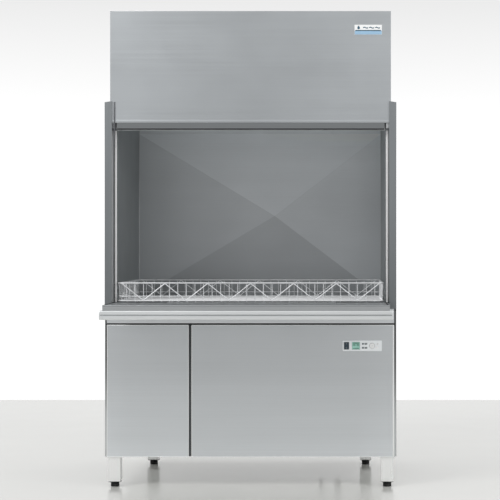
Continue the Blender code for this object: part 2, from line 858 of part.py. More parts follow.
def build_lower_door():
    """Folded-down door half, drawn open; it turns about the hinge pins."""
    pivot = (0.0, HINGE_Y, HINGE_Z)
    tail = HINGE_Y + HINGE_TAIL
    edge = FRONT - PLATE_REACH
    bottom = SHELF_TOP - SHELF_THICK
    liner = new_object(
        "lower_door_liner",
        tray_shape((-LOWER_HALF, edge, bottom), (LOWER_HALF, tail, SHELF_TOP), SHEET, "z", False),
        STEEL,
    )
    guides = []
    for side, sign in SIDES:
        low, high = mirrored(sign, *BORE_X)
        profile = [(PIN_BORE_RADIUS, low), (PIN_BORE_RADIUS, high)]
        bore = solid_turned("x", (HINGE_Y, HINGE_Z), profile, 24)
        guides.append(apply_tool(liner, bore, "DIFFERENCE", f"hinge_bore_guide_{side}"))
    clear = SHEET + GAP
    skin = new_object(
        "lower_door_skin",
        box_shape(
            (-LOWER_HALF + clear, edge + clear, bottom),
            (LOWER_HALF - clear, tail - clear, bottom + 0.0015),
        ),
        STEEL,
    )
    top = bottom - GAP
    middle = top - HANDLE_HEIGHT / 2
    face = FRONT - SHELF_REACH
    section = [
        (face + 0.034, top),
        (face + 0.010, top),
        (face + 0.003, top - 0.003),
        (face, top - 0.009),
        (face + 0.003, middle + 0.007),
        (face + 0.009, middle + 0.004),
        (face + 0.009, middle - 0.004),
        (face + 0.003, middle - 0.007),
        (face, top - HANDLE_HEIGHT + 0.009),
        (face + 0.003, top - HANDLE_HEIGHT + 0.003),
        (face + 0.010, top - HANDLE_HEIGHT),
        (face + 0.020, top - HANDLE_HEIGHT),
        (face + 0.020, top - 0.012),
        (face + 0.034, top - 0.006),
    ]
    handle = new_object(
        "lower_door_handle",
        outline_shape("x", section, -HANDLE_HALF, HANDLE_HALF),
        BRIGHT_STEEL,
    )
    for item in (liner, skin, handle, *guides):
        set_origin(item, pivot)


def build_lift():
    """Counterbalance: a cable at each side runs from the door over a pulley to a weight."""
    weight_top = LUG_TOP - DOOR_TRAVEL
    for side, sign in SIDES:
        x = sign * CABLE_X
        pulley_profile = [
            (PULLEY_BORE_RADIUS, -0.0040),
            (0.0310, -0.0040),
            (0.0310, -0.0030),
            (0.0265, -0.0020),
            (0.0265, 0.0020),
            (0.0310, 0.0030),
            (0.0310, 0.0040),
            (PULLEY_BORE_RADIUS, 0.0040),
        ]
        pulley = new_object(
            f"pulley_{side}",
            ring_turned("x", (0.0, 0.0), pulley_profile, 24),
            BLACK_PLASTIC,
            smooth=True,
        )
        pulley.location = (x, PULLEY_Y, PULLEY_Z)
        for name, y, low in (
            ("door_cable", CABLE_Y, LUG_TOP + GAP),
            ("weight_cable", PULLEY_Y + WRAP_RADIUS, weight_top + GAP),
        ):
            profile = [(CABLE_RADIUS, low), (CABLE_RADIUS, PULLEY_Z)]
            new_object(
                f"{name}_{side}",
                solid_turned("z", (x, y), profile, 8),
                BRIGHT_STEEL,
                smooth=True,
            )
        low, high = mirrored(sign, *WEIGHT_X)
        new_object(
            f"counterweight_{side}",
            box_shape((low, WEIGHT_Y[0], weight_top - WEIGHT_LENGTH), (high, WEIGHT_Y[1], weight_top)),
            CAST_GREY,
        )


def zigzag_holes(start, end, bays, low, high, bar):
    """Alternating triangles between a bottom and a top rail, leaving slanted bars."""
    holes = []
    pitch = (end - start) / bays
    trim = bar * 1.3
    for i in range(bays):
        left = start + pitch * i
        right = left + pitch
        middle = (left + right) / 2
        holes.append([(left + trim * 1.6, high), (right - trim * 1.6, high), (middle, low + trim)])
        if i == bays - 1:
            continue
        following = middle + pitch
        holes.append([(middle + trim * 1.6, low), (following - trim * 1.6, low), (right, high - trim)])
    return holes


def build_rack():
    """Wire rack in five flat parts; the floor is an open grid and the walls are trusses."""
    floor_low = SHELF_TOP + GAP
    floor_high = floor_low + WIRE
    back = RACK_FRONT + RACK_DEPTH
    columns, rows = 12, 6
    cell_x = (2 * RACK_HALF - WIRE) / columns
    cell_y = (RACK_DEPTH - WIRE) / rows
    holes = []
    for i in range(columns):
        for j in range(rows):
            x = -RACK_HALF + WIRE + cell_x * i
            y = RACK_FRONT + WIRE + cell_y * j
            holes.append(rectangle(x, y, x + cell_x - WIRE, y + cell_y - WIRE))
    outline = rectangle(-RACK_HALF, RACK_FRONT, RACK_HALF, back)
    new_object(
        "rack_floor",
        outline_shape("z", outline, floor_low, floor_high, holes),
        BRIGHT_STEEL,
    )
    low = floor_high + GAP
    rail_low, rail_high = low + WIRE, RACK_TOP - WIRE
    long_outline = rectangle(-RACK_HALF, low, RACK_HALF, RACK_TOP)
    long_holes = zigzag_holes(-RACK_HALF + WIRE, RACK_HALF - WIRE, 6, rail_low, rail_high, WIRE)
    for name, y in (("rack_front", RACK_FRONT), ("rack_back", back - WIRE)):
        new_object(name, outline_shape("y", long_outline, y, y + WIRE, long_holes), BRIGHT_STEEL)
    start, end = RACK_FRONT + WIRE + GAP, back - WIRE - GAP
    end_outline = rectangle(start, low, end, RACK_TOP)
    end_holes = zigzag_holes(start + WIRE, end - WIRE, 3, rail_low, rail_high, WIRE)
    for name, x in (("rack_left", -RACK_HALF), ("rack_right", RACK_HALF - WIRE)):
        new_object(name, outline_shape("x", end_outline, x, x + WIRE, end_holes), BRIGHT_STEEL)


def main():
    clear_scene()
    build_base()
    build_housing()
    build_chamber()
    build_tank()
    build_water_system()
    build_lower_panels()
    build_controls()
    build_upper_door()
    build_lower_door()
    build_lift()
    build_rack()


main()
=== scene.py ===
import math

import bmesh
import bpy
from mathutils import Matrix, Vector


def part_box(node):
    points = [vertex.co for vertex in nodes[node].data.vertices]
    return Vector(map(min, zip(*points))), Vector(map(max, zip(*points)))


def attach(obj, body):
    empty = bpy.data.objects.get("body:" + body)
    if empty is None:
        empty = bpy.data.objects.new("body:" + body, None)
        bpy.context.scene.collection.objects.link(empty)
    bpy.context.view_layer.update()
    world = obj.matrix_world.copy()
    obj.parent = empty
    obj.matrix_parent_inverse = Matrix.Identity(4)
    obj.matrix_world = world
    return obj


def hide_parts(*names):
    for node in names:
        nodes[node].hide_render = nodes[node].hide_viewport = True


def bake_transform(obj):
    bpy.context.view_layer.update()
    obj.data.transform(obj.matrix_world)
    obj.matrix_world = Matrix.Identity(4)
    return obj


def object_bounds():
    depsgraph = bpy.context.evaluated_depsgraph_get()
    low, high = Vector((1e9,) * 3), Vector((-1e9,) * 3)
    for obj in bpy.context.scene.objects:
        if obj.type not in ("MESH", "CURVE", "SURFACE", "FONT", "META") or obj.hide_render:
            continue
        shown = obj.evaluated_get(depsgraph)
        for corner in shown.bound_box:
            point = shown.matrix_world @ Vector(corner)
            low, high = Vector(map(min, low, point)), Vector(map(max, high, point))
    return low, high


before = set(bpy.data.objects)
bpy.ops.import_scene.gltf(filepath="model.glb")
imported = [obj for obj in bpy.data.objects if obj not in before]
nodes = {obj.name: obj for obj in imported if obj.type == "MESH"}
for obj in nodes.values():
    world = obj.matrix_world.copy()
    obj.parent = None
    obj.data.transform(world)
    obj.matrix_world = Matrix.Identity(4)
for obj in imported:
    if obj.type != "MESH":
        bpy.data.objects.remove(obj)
cad_low, cad_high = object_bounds()

# ---- places taken from the frame
POST_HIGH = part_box("door_post_right")[1]
RAIL_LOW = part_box("front_rail")[0]
SKIN_LOW, SKIN_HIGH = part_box("upper_door_skin")
LINER_LOW, LINER_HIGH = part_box("upper_door_liner")
SHELF_LOW, SHELF_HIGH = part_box("lower_door_liner")
HANDLE_LOW, HANDLE_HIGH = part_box("lower_door_handle")
RACK_LOW, RACK_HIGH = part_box("rack_floor")
RACK_HIGH = Vector((RACK_HIGH.x, RACK_HIGH.y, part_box("rack_front")[1].z))
BADGE_LOW, BADGE_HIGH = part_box("badge_plate")
BEZEL_LOW, BEZEL_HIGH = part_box("control_bezel")
WINDOW_LOW, WINDOW_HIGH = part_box("display_window")
ROCKER_LOW, ROCKER_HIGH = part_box("power_rocker")
BUTTON_LOW, BUTTON_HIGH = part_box("start_button")
LEFT_PANEL_LOW, LEFT_PANEL_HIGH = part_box("front_panel_left")
PANEL_LOW, PANEL_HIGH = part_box("front_panel_right")
FRONT = RAIL_LOW.y
UPPER_BACK = SKIN_HIGH.y + 0.0018
REAR = cad_high.y
SIDES = (("left", -1), ("right", 1))
LEG_PLACES = ("front_left", "front_right", "rear_left", "rear_right")


# ---- mesh helpers
def keep(name, shape, material, slot, body="cabinet", smooth=True, sharp=38, replaces=()):
    """Makes an object from a bmesh, gives it its material and puts it on a body."""
    bmesh.ops.recalc_face_normals(shape, faces=shape.faces)
    mesh = bpy.data.meshes.new(name)
    shape.to_mesh(mesh)
    shape.free()
    if smooth:
        mesh.shade_smooth()
        mesh.set_sharp_from_angle(angle=math.radians(sharp))
    piece = bpy.data.objects.new(name, mesh)
    bpy.context.scene.collection.objects.link(piece)
    mesh.materials.append(material)
    if body:
        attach(piece, body)
    if replaces:
        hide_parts(*replaces)
    return piece


def box(shape, low, high, bevel=0.0, segments=2):
    """Box with rounded edges."""
    made = bmesh.ops.create_cube(shape, size=1.0)["verts"]
    for vertex in made:
        for axis in range(3):
            middle = (low[axis] + high[axis]) / 2
            vertex.co[axis] = middle + vertex.co[axis] * (high[axis] - low[axis])
    if bevel:
        edges = list({edge for vertex in made for edge in vertex.link_edges})
        bmesh.ops.bevel(
            shape, geom=edges, offset=bevel, segments=segments, profile=0.5, affect="EDGES",
        )


def slab(name, low, high, bevel, material, slot, body="cabinet", segments=2):
    """One rounded box as a piece of its own."""
    shape = bmesh.new()
    box(shape, low, high, bevel, segments)
    return keep(name, shape, material, slot, body)


def bar(name, axis, outline, start, end, material, slot, body, **options):
    """One extruded bar as a piece of its own."""
    shape = bmesh.new()
    extruded(shape, axis, outline, start, end)
    return keep(name, shape, material, slot, body, **options)


def mirrored(sign, near, far):
    """Range between two distances from the middle, on the left or on the right."""
    return sorted((sign * near, sign * far))


def skinned(shape, rings):
    """Side faces between neighbouring rings with equal numbers of points."""
    for first, second in zip(rings, rings[1:]):
        for i in range(len(first)):
            j = (i + 1) % len(first)
            shape.faces.new((first[i], first[j], second[j], second[i]))


def at(axis, a, b, along):
    """Point from two coordinates across an axis and one along it."""
    return {"x": (along, a, b), "y": (a, along, b), "z": (a, b, along)}[axis]


def turned(shape, axis, centre, profile, segments):
    """Turned solid from (radius, place along the axis) pairs, closed to the axis at both ends."""
    rings = []
    for radius, along in [(0.0, profile[0][1]), *profile, (0.0, profile[-1][1])]:
        if radius == 0.0:
            rings.append([shape.verts.new(at(axis, *centre, along))])
            continue
        ring = []
        for i in range(segments):
            turn = 2 * math.pi * i / segments
            point = (centre[0] + radius * math.cos(turn), centre[1] + radius * math.sin(turn))
            ring.append(shape.verts.new(at(axis, *point, along)))
        rings.append(ring)
    for below, above in zip(rings, rings[1:]):
        for i in range(segments):
            j = (i + 1) % segments
            corners = [below[i % len(below)], below[j % len(below)]]
            corners += [above[j % len(above)], above[i % len(above)]]
            shape.faces.new(list(dict.fromkeys(corners)))


def extruded(shape, axis, outline, start, end):
    """Solid bar with a closed outline, extruded along an axis."""
    rings = []
    for along in (start, end):
        rings.append([shape.verts.new(at(axis, a, b, along)) for a, b in outline])
    skinned(shape, rings)
    shape.faces.new(rings[0])
    shape.faces.new(rings[1])


def arc(centre_a, centre_b, radius, start, end, steps):
    """Points on an arc, from one angle in degrees to another."""
    points = []
    for i in range(steps + 1):
        turn = math.radians(start + (end - start) * i / steps)
        points.append((centre_a + radius * math.cos(turn), centre_b + radius * math.sin(turn)))
    return points


def rounded_rectangle(a0, b0, a1, b1, radius, steps=4):
    points = arc(a1 - radius, b1 - radius, radius, 0, 90, steps)
    points += arc(a0 + radius, b1 - radius, radius, 90, 180, steps)
    points += arc(a0 + radius, b0 + radius, radius, 180, 270, steps)
    points += arc(a1 - radius, b0 + radius, radius, 270, 360, steps)
    return points


def pressed_rib(face, level, sunk, rise, foot, crest):
    """Section of a shallow rib that stands out of a sheet."""
    return [(face - sunk, level - foot), (face + rise, level - crest),
            (face + rise, level + crest), (face - sunk, level + foot)]


def wire(shape, points, radius, sides, closed=False):
    """Round wire along a path, with mitred corners."""
    path = [Vector(p) for p in points]
    count = len(path)
    rings = []
    normal = None
    for i, here in enumerate(path):
        before = path[i - 1] if (i > 0 or closed) else None
        after = path[(i + 1) % count] if (i < count - 1 or closed) else None
        coming = (here - before).normalized() if before is not None else None
        going = (after - here).normalized() if after is not None else None
        along = (coming or going) + (going or coming)
        along.normalize()
        if normal is None:
            side = Vector((0, 0, 1)) if abs(along.z) < 0.9 else Vector((0, 1, 0))
            normal = (side - along * side.dot(along)).normalized()
        else:
            normal = (normal - along * normal.dot(along)).normalized()
        across = along.cross(normal)
        stretch = 1.0
        if coming is not None and going is not None:
            stretch = min(1.0 / max(0.3, along.dot(going)), 2.0)
        bend = (going - coming) if coming is not None and going is not None else Vector()
        bend = bend.normalized() if bend.length > 1e-6 else None
        ring = []
        for k in range(sides):
            turn = 2 * math.pi * k / sides
            offset = (normal * math.cos(turn) + across * math.sin(turn)) * radius
            if bend is not None:
                offset += bend * offset.dot(bend) * (stretch - 1.0)
            ring.append(shape.verts.new(here + offset))
        rings.append(ring)
    skinned(shape, rings + rings[:1] if closed else rings)
    if not closed:
        shape.faces.new(rings[0])
        shape.faces.new(rings[-1])


def hoop(shape, axis, along, outline, radius, sides=6):
    """Closed loop of round wire in a plane across an axis."""
    wire(shape, [at(axis, a, b, along) for a, b in outline], radius, sides, closed=True)


def filleted(points, radius):
    """Replaces the inner corners of an open path by short arcs."""
    steps = 3
    path = [Vector(p) for p in points]
    result = [path[0]]
    for before, here, after in zip(path, path[1:], path[2:]):
        first = here + (before - here).normalized() * radius
        last = here + (after - here).normalized() * radius
        for i in range(steps + 1):
            t = i / steps
            result.append(first * (1 - t) ** 2 + here * (2 * t * (1 - t)) + last * t ** 2)
    result.append(path[-1])
    return result


def screw_head(shape, axis, centre, surface, outwards, radius):
    """Low domed screw head with a hexagon recess, standing on a surface."""
    rise = outwards * radius * 0.5
    profile = [
        (radius, surface),
        (radius, surface + rise * 0.35),
        (radius * 0.86, surface + rise * 0.75),
        (radius * 0.55, surface + rise),
        (radius * 0.42, surface + rise),
        (radius * 0.42, surface + rise * 0.3),
    ]
    turned(shape, axis, centre, profile, 18)


# ---- materials
class Tree:
    """Small wrapper that keeps a node tree short to write."""

    def __init__(self, tree):
        self.tree = tree

    def node(self, kind, inputs=(), **settings):
        made = self.tree.nodes.new(kind)
        for key, value in settings.items():
            setattr(made, key, value)
        self.feed(made, dict(inputs))
        return made

    def feed(self, made, inputs):
        """Gives each input a link from another node's output, or a fixed value."""
        for key, value in inputs.items():
            socket = made.inputs[key]
            if isinstance(value, bpy.types.NodeSocket):
                self.tree.links.new(value, socket)
            else:
                socket.default_value = (*value, 1.0) if socket.type == "RGBA" else value

    def spread(self, value, low, high, to_low, to_high):
        """Maps one range of a value onto another."""
        return self.node("ShaderNodeMapRange", {
            "Value": value, "From Min": low, "From Max": high, "To Min": to_low, "To Max": to_high,
        }).outputs["Result"]

    def along(self, vector, axis):
        return self.node("ShaderNodeSeparateXYZ", {"Vector": vector}).outputs[axis]

    def ramp(self, value, stops, interpolation="LINEAR"):
        """Grey level read from (position, level) pairs."""
        made = self.node("ShaderNodeValToRGB", {"Fac": value})
        made.color_ramp.interpolation = interpolation
        elements = made.color_ramp.elements
        while len(elements) < len(stops):
            elements.new(0.5)
        for element, (position, level) in zip(elements, stops):
            element.position = position
            element.color = (level, level, level, 1.0)
        return made.outputs["Color"]

    def maths(self, operation, a, b):
        return self.node("ShaderNodeMath", {0: a, 1: b}, operation=operation).outputs[0]

    def mixed(self, factor, first, second, **settings):
        """Mix of two colours."""
        return self.node(
            "ShaderNodeMix", {"Factor": factor, 6: first, 7: second}, data_type="RGBA", **settings,
        ).outputs[2]


class Shade(Tree):
    """A new material with its main shader."""

    def __init__(self, name):
        self.material = bpy.data.materials.new(name)
        self.material.use_nodes = True
        super().__init__(self.material.node_tree)
        self.coords = self.node("ShaderNodeTexCoord")

    def stretched(self, scale):
        """Object coordinates, scaled along each axis."""
        inputs = {"Vector": self.coords.outputs["Object"], "Scale": scale}
        return self.node("ShaderNodeMapping", inputs).outputs["Vector"]

    def noise(self, scale, detail, stretch=(1, 1, 1), roughness=0.55):
        return self.node("ShaderNodeTexNoise", {
            "Vector": self.stretched(stretch), "Scale": scale, "Detail": detail,
            "Roughness": roughness,
        }).outputs["Fac"]

    def painted_light_ramp(self, axis, stops):
        """Painted light and shade: a slow change of tone from one end of a piece to the other, by
        its own box.
        """
        place = self.along(self.coords.outputs["Generated"], axis)
        return self.ramp(place, stops, "B_SPLINE")

    def tilted(self, axis):
        """How far a flat face leans along an axis."""
        return self.along(self.node("ShaderNodeNewGeometry").outputs["True Normal"], axis)

    def tinted(self, colour, amount):
        """Base colour multiplied by a varying amount."""
        return self.mixed(1.0, colour, amount, blend_type="MULTIPLY")

    def uneven(self, tone, colour, dark, light, smooth, rough, **values):
        """Base colour and roughness that follow the same soft noise."""
        self.set(
            Base_Color=self.tinted(colour, self.spread(tone, 0.3, 0.7, dark, light)),
            Roughness=self.spread(tone, 0.3, 0.7, smooth, rough), **values,
        )

    def bump(self, height, strength, distance, bevel=0.0):
        """Relief on the surface, and rounded-looking edges of a given radius."""
        inputs = {"Strength": strength, "Distance": distance, "Height": height}
        if bevel:
            edge = self.node("ShaderNodeBevel", {"Radius": bevel}, samples=4)
            inputs["Normal"] = edge.outputs["Normal"]
        self.set(Normal=self.node("ShaderNodeBump", inputs).outputs["Normal"])

    def set(self, **values):
        """Inputs of the main shader, with underscores for the spaces in their names."""
        inputs = {key.replace("_", " "): value for key, value in values.items()}
        self.feed(self.tree.nodes["Principled BSDF"], inputs)


GRAIN = {"x": (1.2, 260.0, 260.0), "y": (260.0, 1.2, 260.0), "z": (260.0, 260.0, 1.2)}
BROAD = {"x": (0.5, 9.0, 9.0), "y": (9.0, 0.5, 9.0), "z": (9.0, 9.0, 0.5)}


def steel(name, colour, roughness, grain, contrast, bevel=0.0015, aniso=0.35,
          smudges=0.05, painted_fades=(), metallic=1.0, painted_facet_shade=()):
    """Ground stainless sheet: fine parallel scratches, broad bands, and soft wiping marks, with
    painted light and shade from any fades and facet tones given.
    """
    made = Shade(name)
    fine = made.noise(1.0, 4.0, GRAIN[grain], 0.7)
    bands = made.noise(1.0, 3.0, BROAD[grain])
    marks = made.noise(3.2, 5.0, roughness=0.6)
    light = made.maths(
        "MULTIPLY",
        made.spread(fine, 0.25, 0.75, 1.0 - contrast, 1.0 + contrast),
        made.spread(bands, 0.3, 0.7, 1.0 - contrast * 0.55, 1.0 + contrast * 0.55),
    )
    # painted light and shade: each fade lightens or darkens the steel along the piece's own box
    for axis, stops in painted_fades:
        light = made.maths("MULTIPLY", light, made.painted_light_ramp(axis, stops))
    # painted shading: each face gets a lighter or darker tone by the way it leans, as light would
    # fall on it
    for axis, tilt, low, high in painted_facet_shade:
        tone = made.spread(made.tilted(axis), -tilt, tilt, low, high)
        light = made.maths("MULTIPLY", light, tone)
    rough = made.maths(
        "ADD",
        made.spread(fine, 0.25, 0.75, roughness - 0.05, roughness + 0.05),
        made.spread(marks, 0.35, 0.75, -smudges * 0.5, smudges),
    )
    tangent = made.node("ShaderNodeTangent", direction_type="RADIAL", axis="Z")
    made.set(
        Base_Color=made.tinted(colour, light), Metallic=metallic, Roughness=rough,
        Anisotropic=aniso, Tangent=tangent.outputs["Tangent"],
    )
    made.bump(fine, 0.10, 0.0004, bevel)
    return made.material


def creased_steel(name, colour, roughness):
    """Folded rear sheet with painted shading: each shallow facet gets its own painted tone by the
    way it faces, and painted light makes the sheet lighter towards the roof and towards the right.
    """
    return steel(
        name, colour, roughness, "x", 0.03, aniso=0.2,
        painted_fades=(("Z", ((0.0, 0.55), (0.45, 0.57), (0.75, 0.70), (1.0, 1.0))),
               ("X", ((0.0, 0.78), (0.25, 0.90), (0.60, 0.98), (1.0, 1.0)))),
        painted_facet_shade=(("Z", 0.035, 0.86, 1.16), ("X", 0.035, 0.96, 1.04)), metallic=0.70,
    )


def rod_steel(name, colour, roughness, metallic=1.0):
    """Drawn and electropolished round wire."""
    made = Shade(name)
    grime = made.noise(55.0, 4.0)
    fine = made.noise(420.0, 2.0)
    made.uneven(
        grime, colour, 0.90, 1.04, roughness - 0.05, roughness + 0.07, Metallic=metallic,
    )
    made.bump(fine, 0.06, 0.0003)
    return made.material


def plastic(name, colour, roughness, pebble=0.08, wear=0.03, coat=0.0):
    """Moulded plastic with a fine eroded texture and a little uneven tone."""
    made = Shade(name)
    tone = made.noise(14.0, 4.0)
    skin = made.noise(900.0, 2.0)
    made.uneven(
        tone, colour, 1.0 - wear, 1.0 + wear * 0.5, roughness - 0.05, roughness + 0.08,
        Coat_Weight=coat,
    )
    made.bump(skin, pebble, 0.0004, 0.0006)
    return made.material


def rubber(name, colour):
    """Dull rubber with a little pale dust."""
    made = Shade(name)
    dust = made.noise(38.0, 5.0)
    skin = made.noise(700.0, 2.0)
    made.set(
        Base_Color=made.mixed(made.spread(dust, 0.50, 0.85, 0.0, 0.35), colour, (0.12, 0.12, 0.12)),
        Roughness=made.spread(dust, 0.3, 0.8, 0.62, 0.85),
    )
    made.bump(skin, 0.20, 0.0005, 0.0008)
    return made.material


def cast(name, colour):
    """Enamelled casting with a lumpy surface."""
    made = Shade(name)
    lumps = made.noise(160.0, 4.0)
    tone = made.noise(9.0, 4.0)
    made.uneven(tone, colour, 0.88, 1.10, 0.45, 0.60, Metallic=0.15, Coat_Weight=0.15)
    made.bump(lumps, 0.22, 0.0008, 0.0015)
    return made.material


def perforated(name, colour):
    """Strainer sheet: rows of round holes, drawn as dark dimples that carry painted shade for each
    hole.
    """
    made = Shade(name)
    cells = made.node("ShaderNodeTexVoronoi", {
        "Vector": made.stretched((125.0, 125.0, 0.001)), "Scale": 1.0, "Randomness": 0.0,
    }, feature="F1")
    hole = made.spread(cells.outputs["Distance"], 0.20, 0.26, 0.0, 1.0)
    tone = made.noise(20.0, 4.0)
    made.set(
        Base_Color=made.mixed(hole, (0.015, 0.016, 0.018), colour),
        Metallic=1.0,
        Roughness=made.spread(tone, 0.3, 0.7, 0.28, 0.42),
    )
    made.bump(hole, 0.6, 0.0008)
    return made.material


def stranded(name, colour):
    """Wire rope: fine diagonal strands."""
    made = Shade(name)
    strands = made.node("ShaderNodeTexWave", {
        "Vector": made.stretched((900.0, 900.0, 420.0)), "Scale": 1.0,
    }, wave_type="BANDS", bands_direction="DIAGONAL").outputs["Fac"]
    tone = made.spread(strands, 0.0, 1.0, 0.55, 1.0)
    made.set(Base_Color=made.tinted(colour, tone), Metallic=1.0, Roughness=0.35)
    made.bump(strands, 0.4, 0.0003)
    return made.material


def screen(name):
    """Back-lit display: soft green glow with faint rows of plain cells."""
    made = Shade(name)
    cells = made.node("ShaderNodeTexBrick", {
        "Vector": made.stretched((330.0, 1.0, 330.0)), "Scale": 1.0, "Mortar Size": 0.08,
    })
    tone = made.noise(60.0, 3.0)
    glow = made.tinted((0.27, 0.52, 0.44), made.spread(tone, 0.3, 0.7, 0.85, 1.10))
    made.set(
        Base_Color=glow, Roughness=0.18, Coat_Weight=0.6,
        Emission_Color=glow, Emission_Strength=0.25,
    )
    made.bump(cells.outputs["Fac"], 0.1, 0.0002)
    return made.material


# Door face steel with painted shade: darker across the middle of its width, full tone at both ends.
FACE = steel("face_steel", (0.535, 0.562, 0.582), 0.40, "x", 0.030, aniso=0.45,
             painted_fades=(("X", ((0.0, 1.0), (0.12, 1.0), (0.42, 0.85), (0.60, 0.86), (1.0, 1.0))),))
# Two copies of one panel steel with different painted light: lighter towards the bottom as a
# painted reflection of the floor, and a painted highlight at the outer end of each panel.
LEFT_PANEL = steel("left_panel_steel", (0.890, 0.925, 0.950), 0.40, "x", 0.030, aniso=0.45,
                   painted_fades=(("Z", ((0.0, 0.96), (0.15, 0.90), (0.60, 0.70), (1.0, 0.70))),
                          ("X", ((0.0, 1.0), (0.25, 0.93), (1.0, 0.93)))))
PANEL = steel("panel_steel", (0.890, 0.925, 0.950), 0.40, "x", 0.030, aniso=0.45,
              painted_fades=(("Z", ((0.0, 0.91), (0.15, 0.86), (0.60, 0.68), (1.0, 0.715))),
                     ("X", ((0.0, 0.92), (0.80, 0.92), (1.0, 1.0)))))
SIDE = steel("side_steel", (0.55, 0.57, 0.58), 0.40, "z", 0.028)
# Post steel painted dark grey as painted shade, and darker towards the bottom.
SHADED_POST = steel("shaded_post_steel", (0.302, 0.320, 0.333), 0.46, "z", 0.04,
             painted_fades=(("Z", ((0.0, 0.70), (0.4, 0.85), (1.0, 1.0))),))
# Near-black steel for a painted shadow in the gap beside the upper door.
GAP_SHADE = steel("gap_shade_steel", (0.15, 0.155, 0.165), 0.50, "z", 0.04)
# Painted shade for the gaps beside the lower panels: light at the bottom as a painted reflection,
# dark towards the top.
SIDE_GAP_SHADE = steel("side_gap_shade_steel", (0.72, 0.74, 0.75), 0.45, "z", 0.03,
               painted_fades=(("Z", ((0.0, 1.0), (0.26, 0.95), (0.48, 0.38), (0.68, 0.17), (1.0, 0.13))),))
# Dark steel as painted shade in the recess of the upper door's grip.
GRIP_SHADE = steel("grip_shade_steel", (0.235, 0.247, 0.255), 0.48, "x", 0.04)
# Darker steel as painted shade inside the handle's groove.
GROOVE_SHADE = steel("groove_shade_steel", (0.40, 0.415, 0.425), 0.50, "x", 0.04)
# Lighter paint for the left guide cheek, as painted light on the shaded inner face of the post.
LIT_CHEEK = plastic("painted_light_cheek", (0.62, 0.64, 0.65), 0.45, wear=0.0)
# Pure white as a painted highlight on the guide strips beside the door opening.
STRIP_HIGHLIGHT = plastic("painted_highlight_strip", (1.0, 1.0, 1.0), 0.40, wear=0.0)
SILL = steel("sill_steel", (0.70, 0.72, 0.735), 0.34, "x", 0.04, aniso=0.5)
BAR = steel("bar_steel", (0.80, 0.82, 0.83), 0.44, "x", 0.02, bevel=0.0, aniso=0.3)
# Near-white steel as a painted highlight along the panels' folded edges.
EDGE_HIGHLIGHT = steel("edge_highlight_steel", (0.97, 0.98, 0.98), 0.40, "z", 0.02, bevel=0.0, metallic=0.6)
TABLE = steel("shelf_steel", (0.46, 0.475, 0.485), 0.38, "x", 0.05, smudges=0.08)
FOLD = steel("fold_steel", (0.36, 0.375, 0.385), 0.42, "x", 0.04)
WALL = creased_steel("wall_steel", (0.93, 0.97, 1.00), 0.50)
ROOF = steel("roof_steel", (0.66, 0.68, 0.69), 0.46, "x", 0.03, metallic=0.9)
SHADE_WALL = steel("inner_steel", (0.40, 0.42, 0.425), 0.42, "z", 0.04, smudges=0.06)
# Near-white leg steel, brighter than the other steels as painted light, so the legs and their floor
# reflections stay light in the shade under the cabinet.
LEG = steel("leg_steel", (0.99, 1.0, 0.99), 0.30, "z", 0.02, bevel=0.003, metallic=0.75)
TRAY = steel("tray_steel", (0.86, 0.87, 0.87), 0.46, "x", 0.04, metallic=0.6)
TANK = steel("tank_steel", (0.50, 0.51, 0.52), 0.36, "x", 0.06, smudges=0.10)
ARM = steel("arm_steel", (0.66, 0.67, 0.68), 0.28, "x", 0.05, smudges=0.08)
BOILER = steel("boiler_steel", (0.66, 0.67, 0.68), 0.30, "z", 0.05)
WIRE = rod_steel("wire_steel", (0.88, 0.89, 0.90), 0.46, metallic=0.55)
FIXING = rod_steel("fixing_steel", (0.62, 0.63, 0.64), 0.28)
ROPE = stranded("rope_steel", (0.60, 0.61, 0.62))
STRAINER = perforated("strainer_steel", (0.52, 0.53, 0.54))
RUBBER = rubber("foot_rubber", (0.004, 0.0045, 0.005))
SEAL = rubber("seal_rubber", (0.018, 0.020, 0.022))
# Dark grey fill for gaps: a painted shade line beside the left guide, and the strip between the two
# lower panels.
GREY_GAP_FILL = rubber("grey_gap_fill_rubber", (0.085, 0.090, 0.095))
WHITE = plastic("white_plastic", (0.94, 0.95, 0.95), 0.34, coat=0.2)
PALE = plastic("pale_plastic", (0.93, 0.96, 0.98), 0.38)
BLACK = plastic("black_plastic", (0.020, 0.021, 0.022), 0.36, 0.05, 0.06)
NAVY = plastic("rocker_plastic", (0.030, 0.055, 0.075), 0.36, 0.05, 0.06)
BLUE = plastic("blue_print", (0.34, 0.54, 0.73), 0.30, coat=0.2)
DARK_BLUE = plastic("dark_blue_print", (0.03, 0.10, 0.16), 0.30, coat=0.2)
INK = plastic("grey_print", (0.15, 0.18, 0.19), 0.45)
FAINT = plastic("faint_print", (0.74, 0.75, 0.76), 0.45)
STONE = plastic("stone_print", (0.48, 0.49, 0.50), 0.45)
GLYPH = plastic("display_print", (0.07, 0.20, 0.14), 0.35)
PULLEY = plastic("pulley_nylon", (0.06, 0.06, 0.065), 0.42, wear=0.06)
MOTOR = cast("motor_enamel", (0.10, 0.12, 0.14))
IRON = cast("weight_enamel", (0.16, 0.17, 0.18))
BOX = cast("box_enamel", (0.30, 0.31, 0.32))
SCREEN = screen("display_glow")

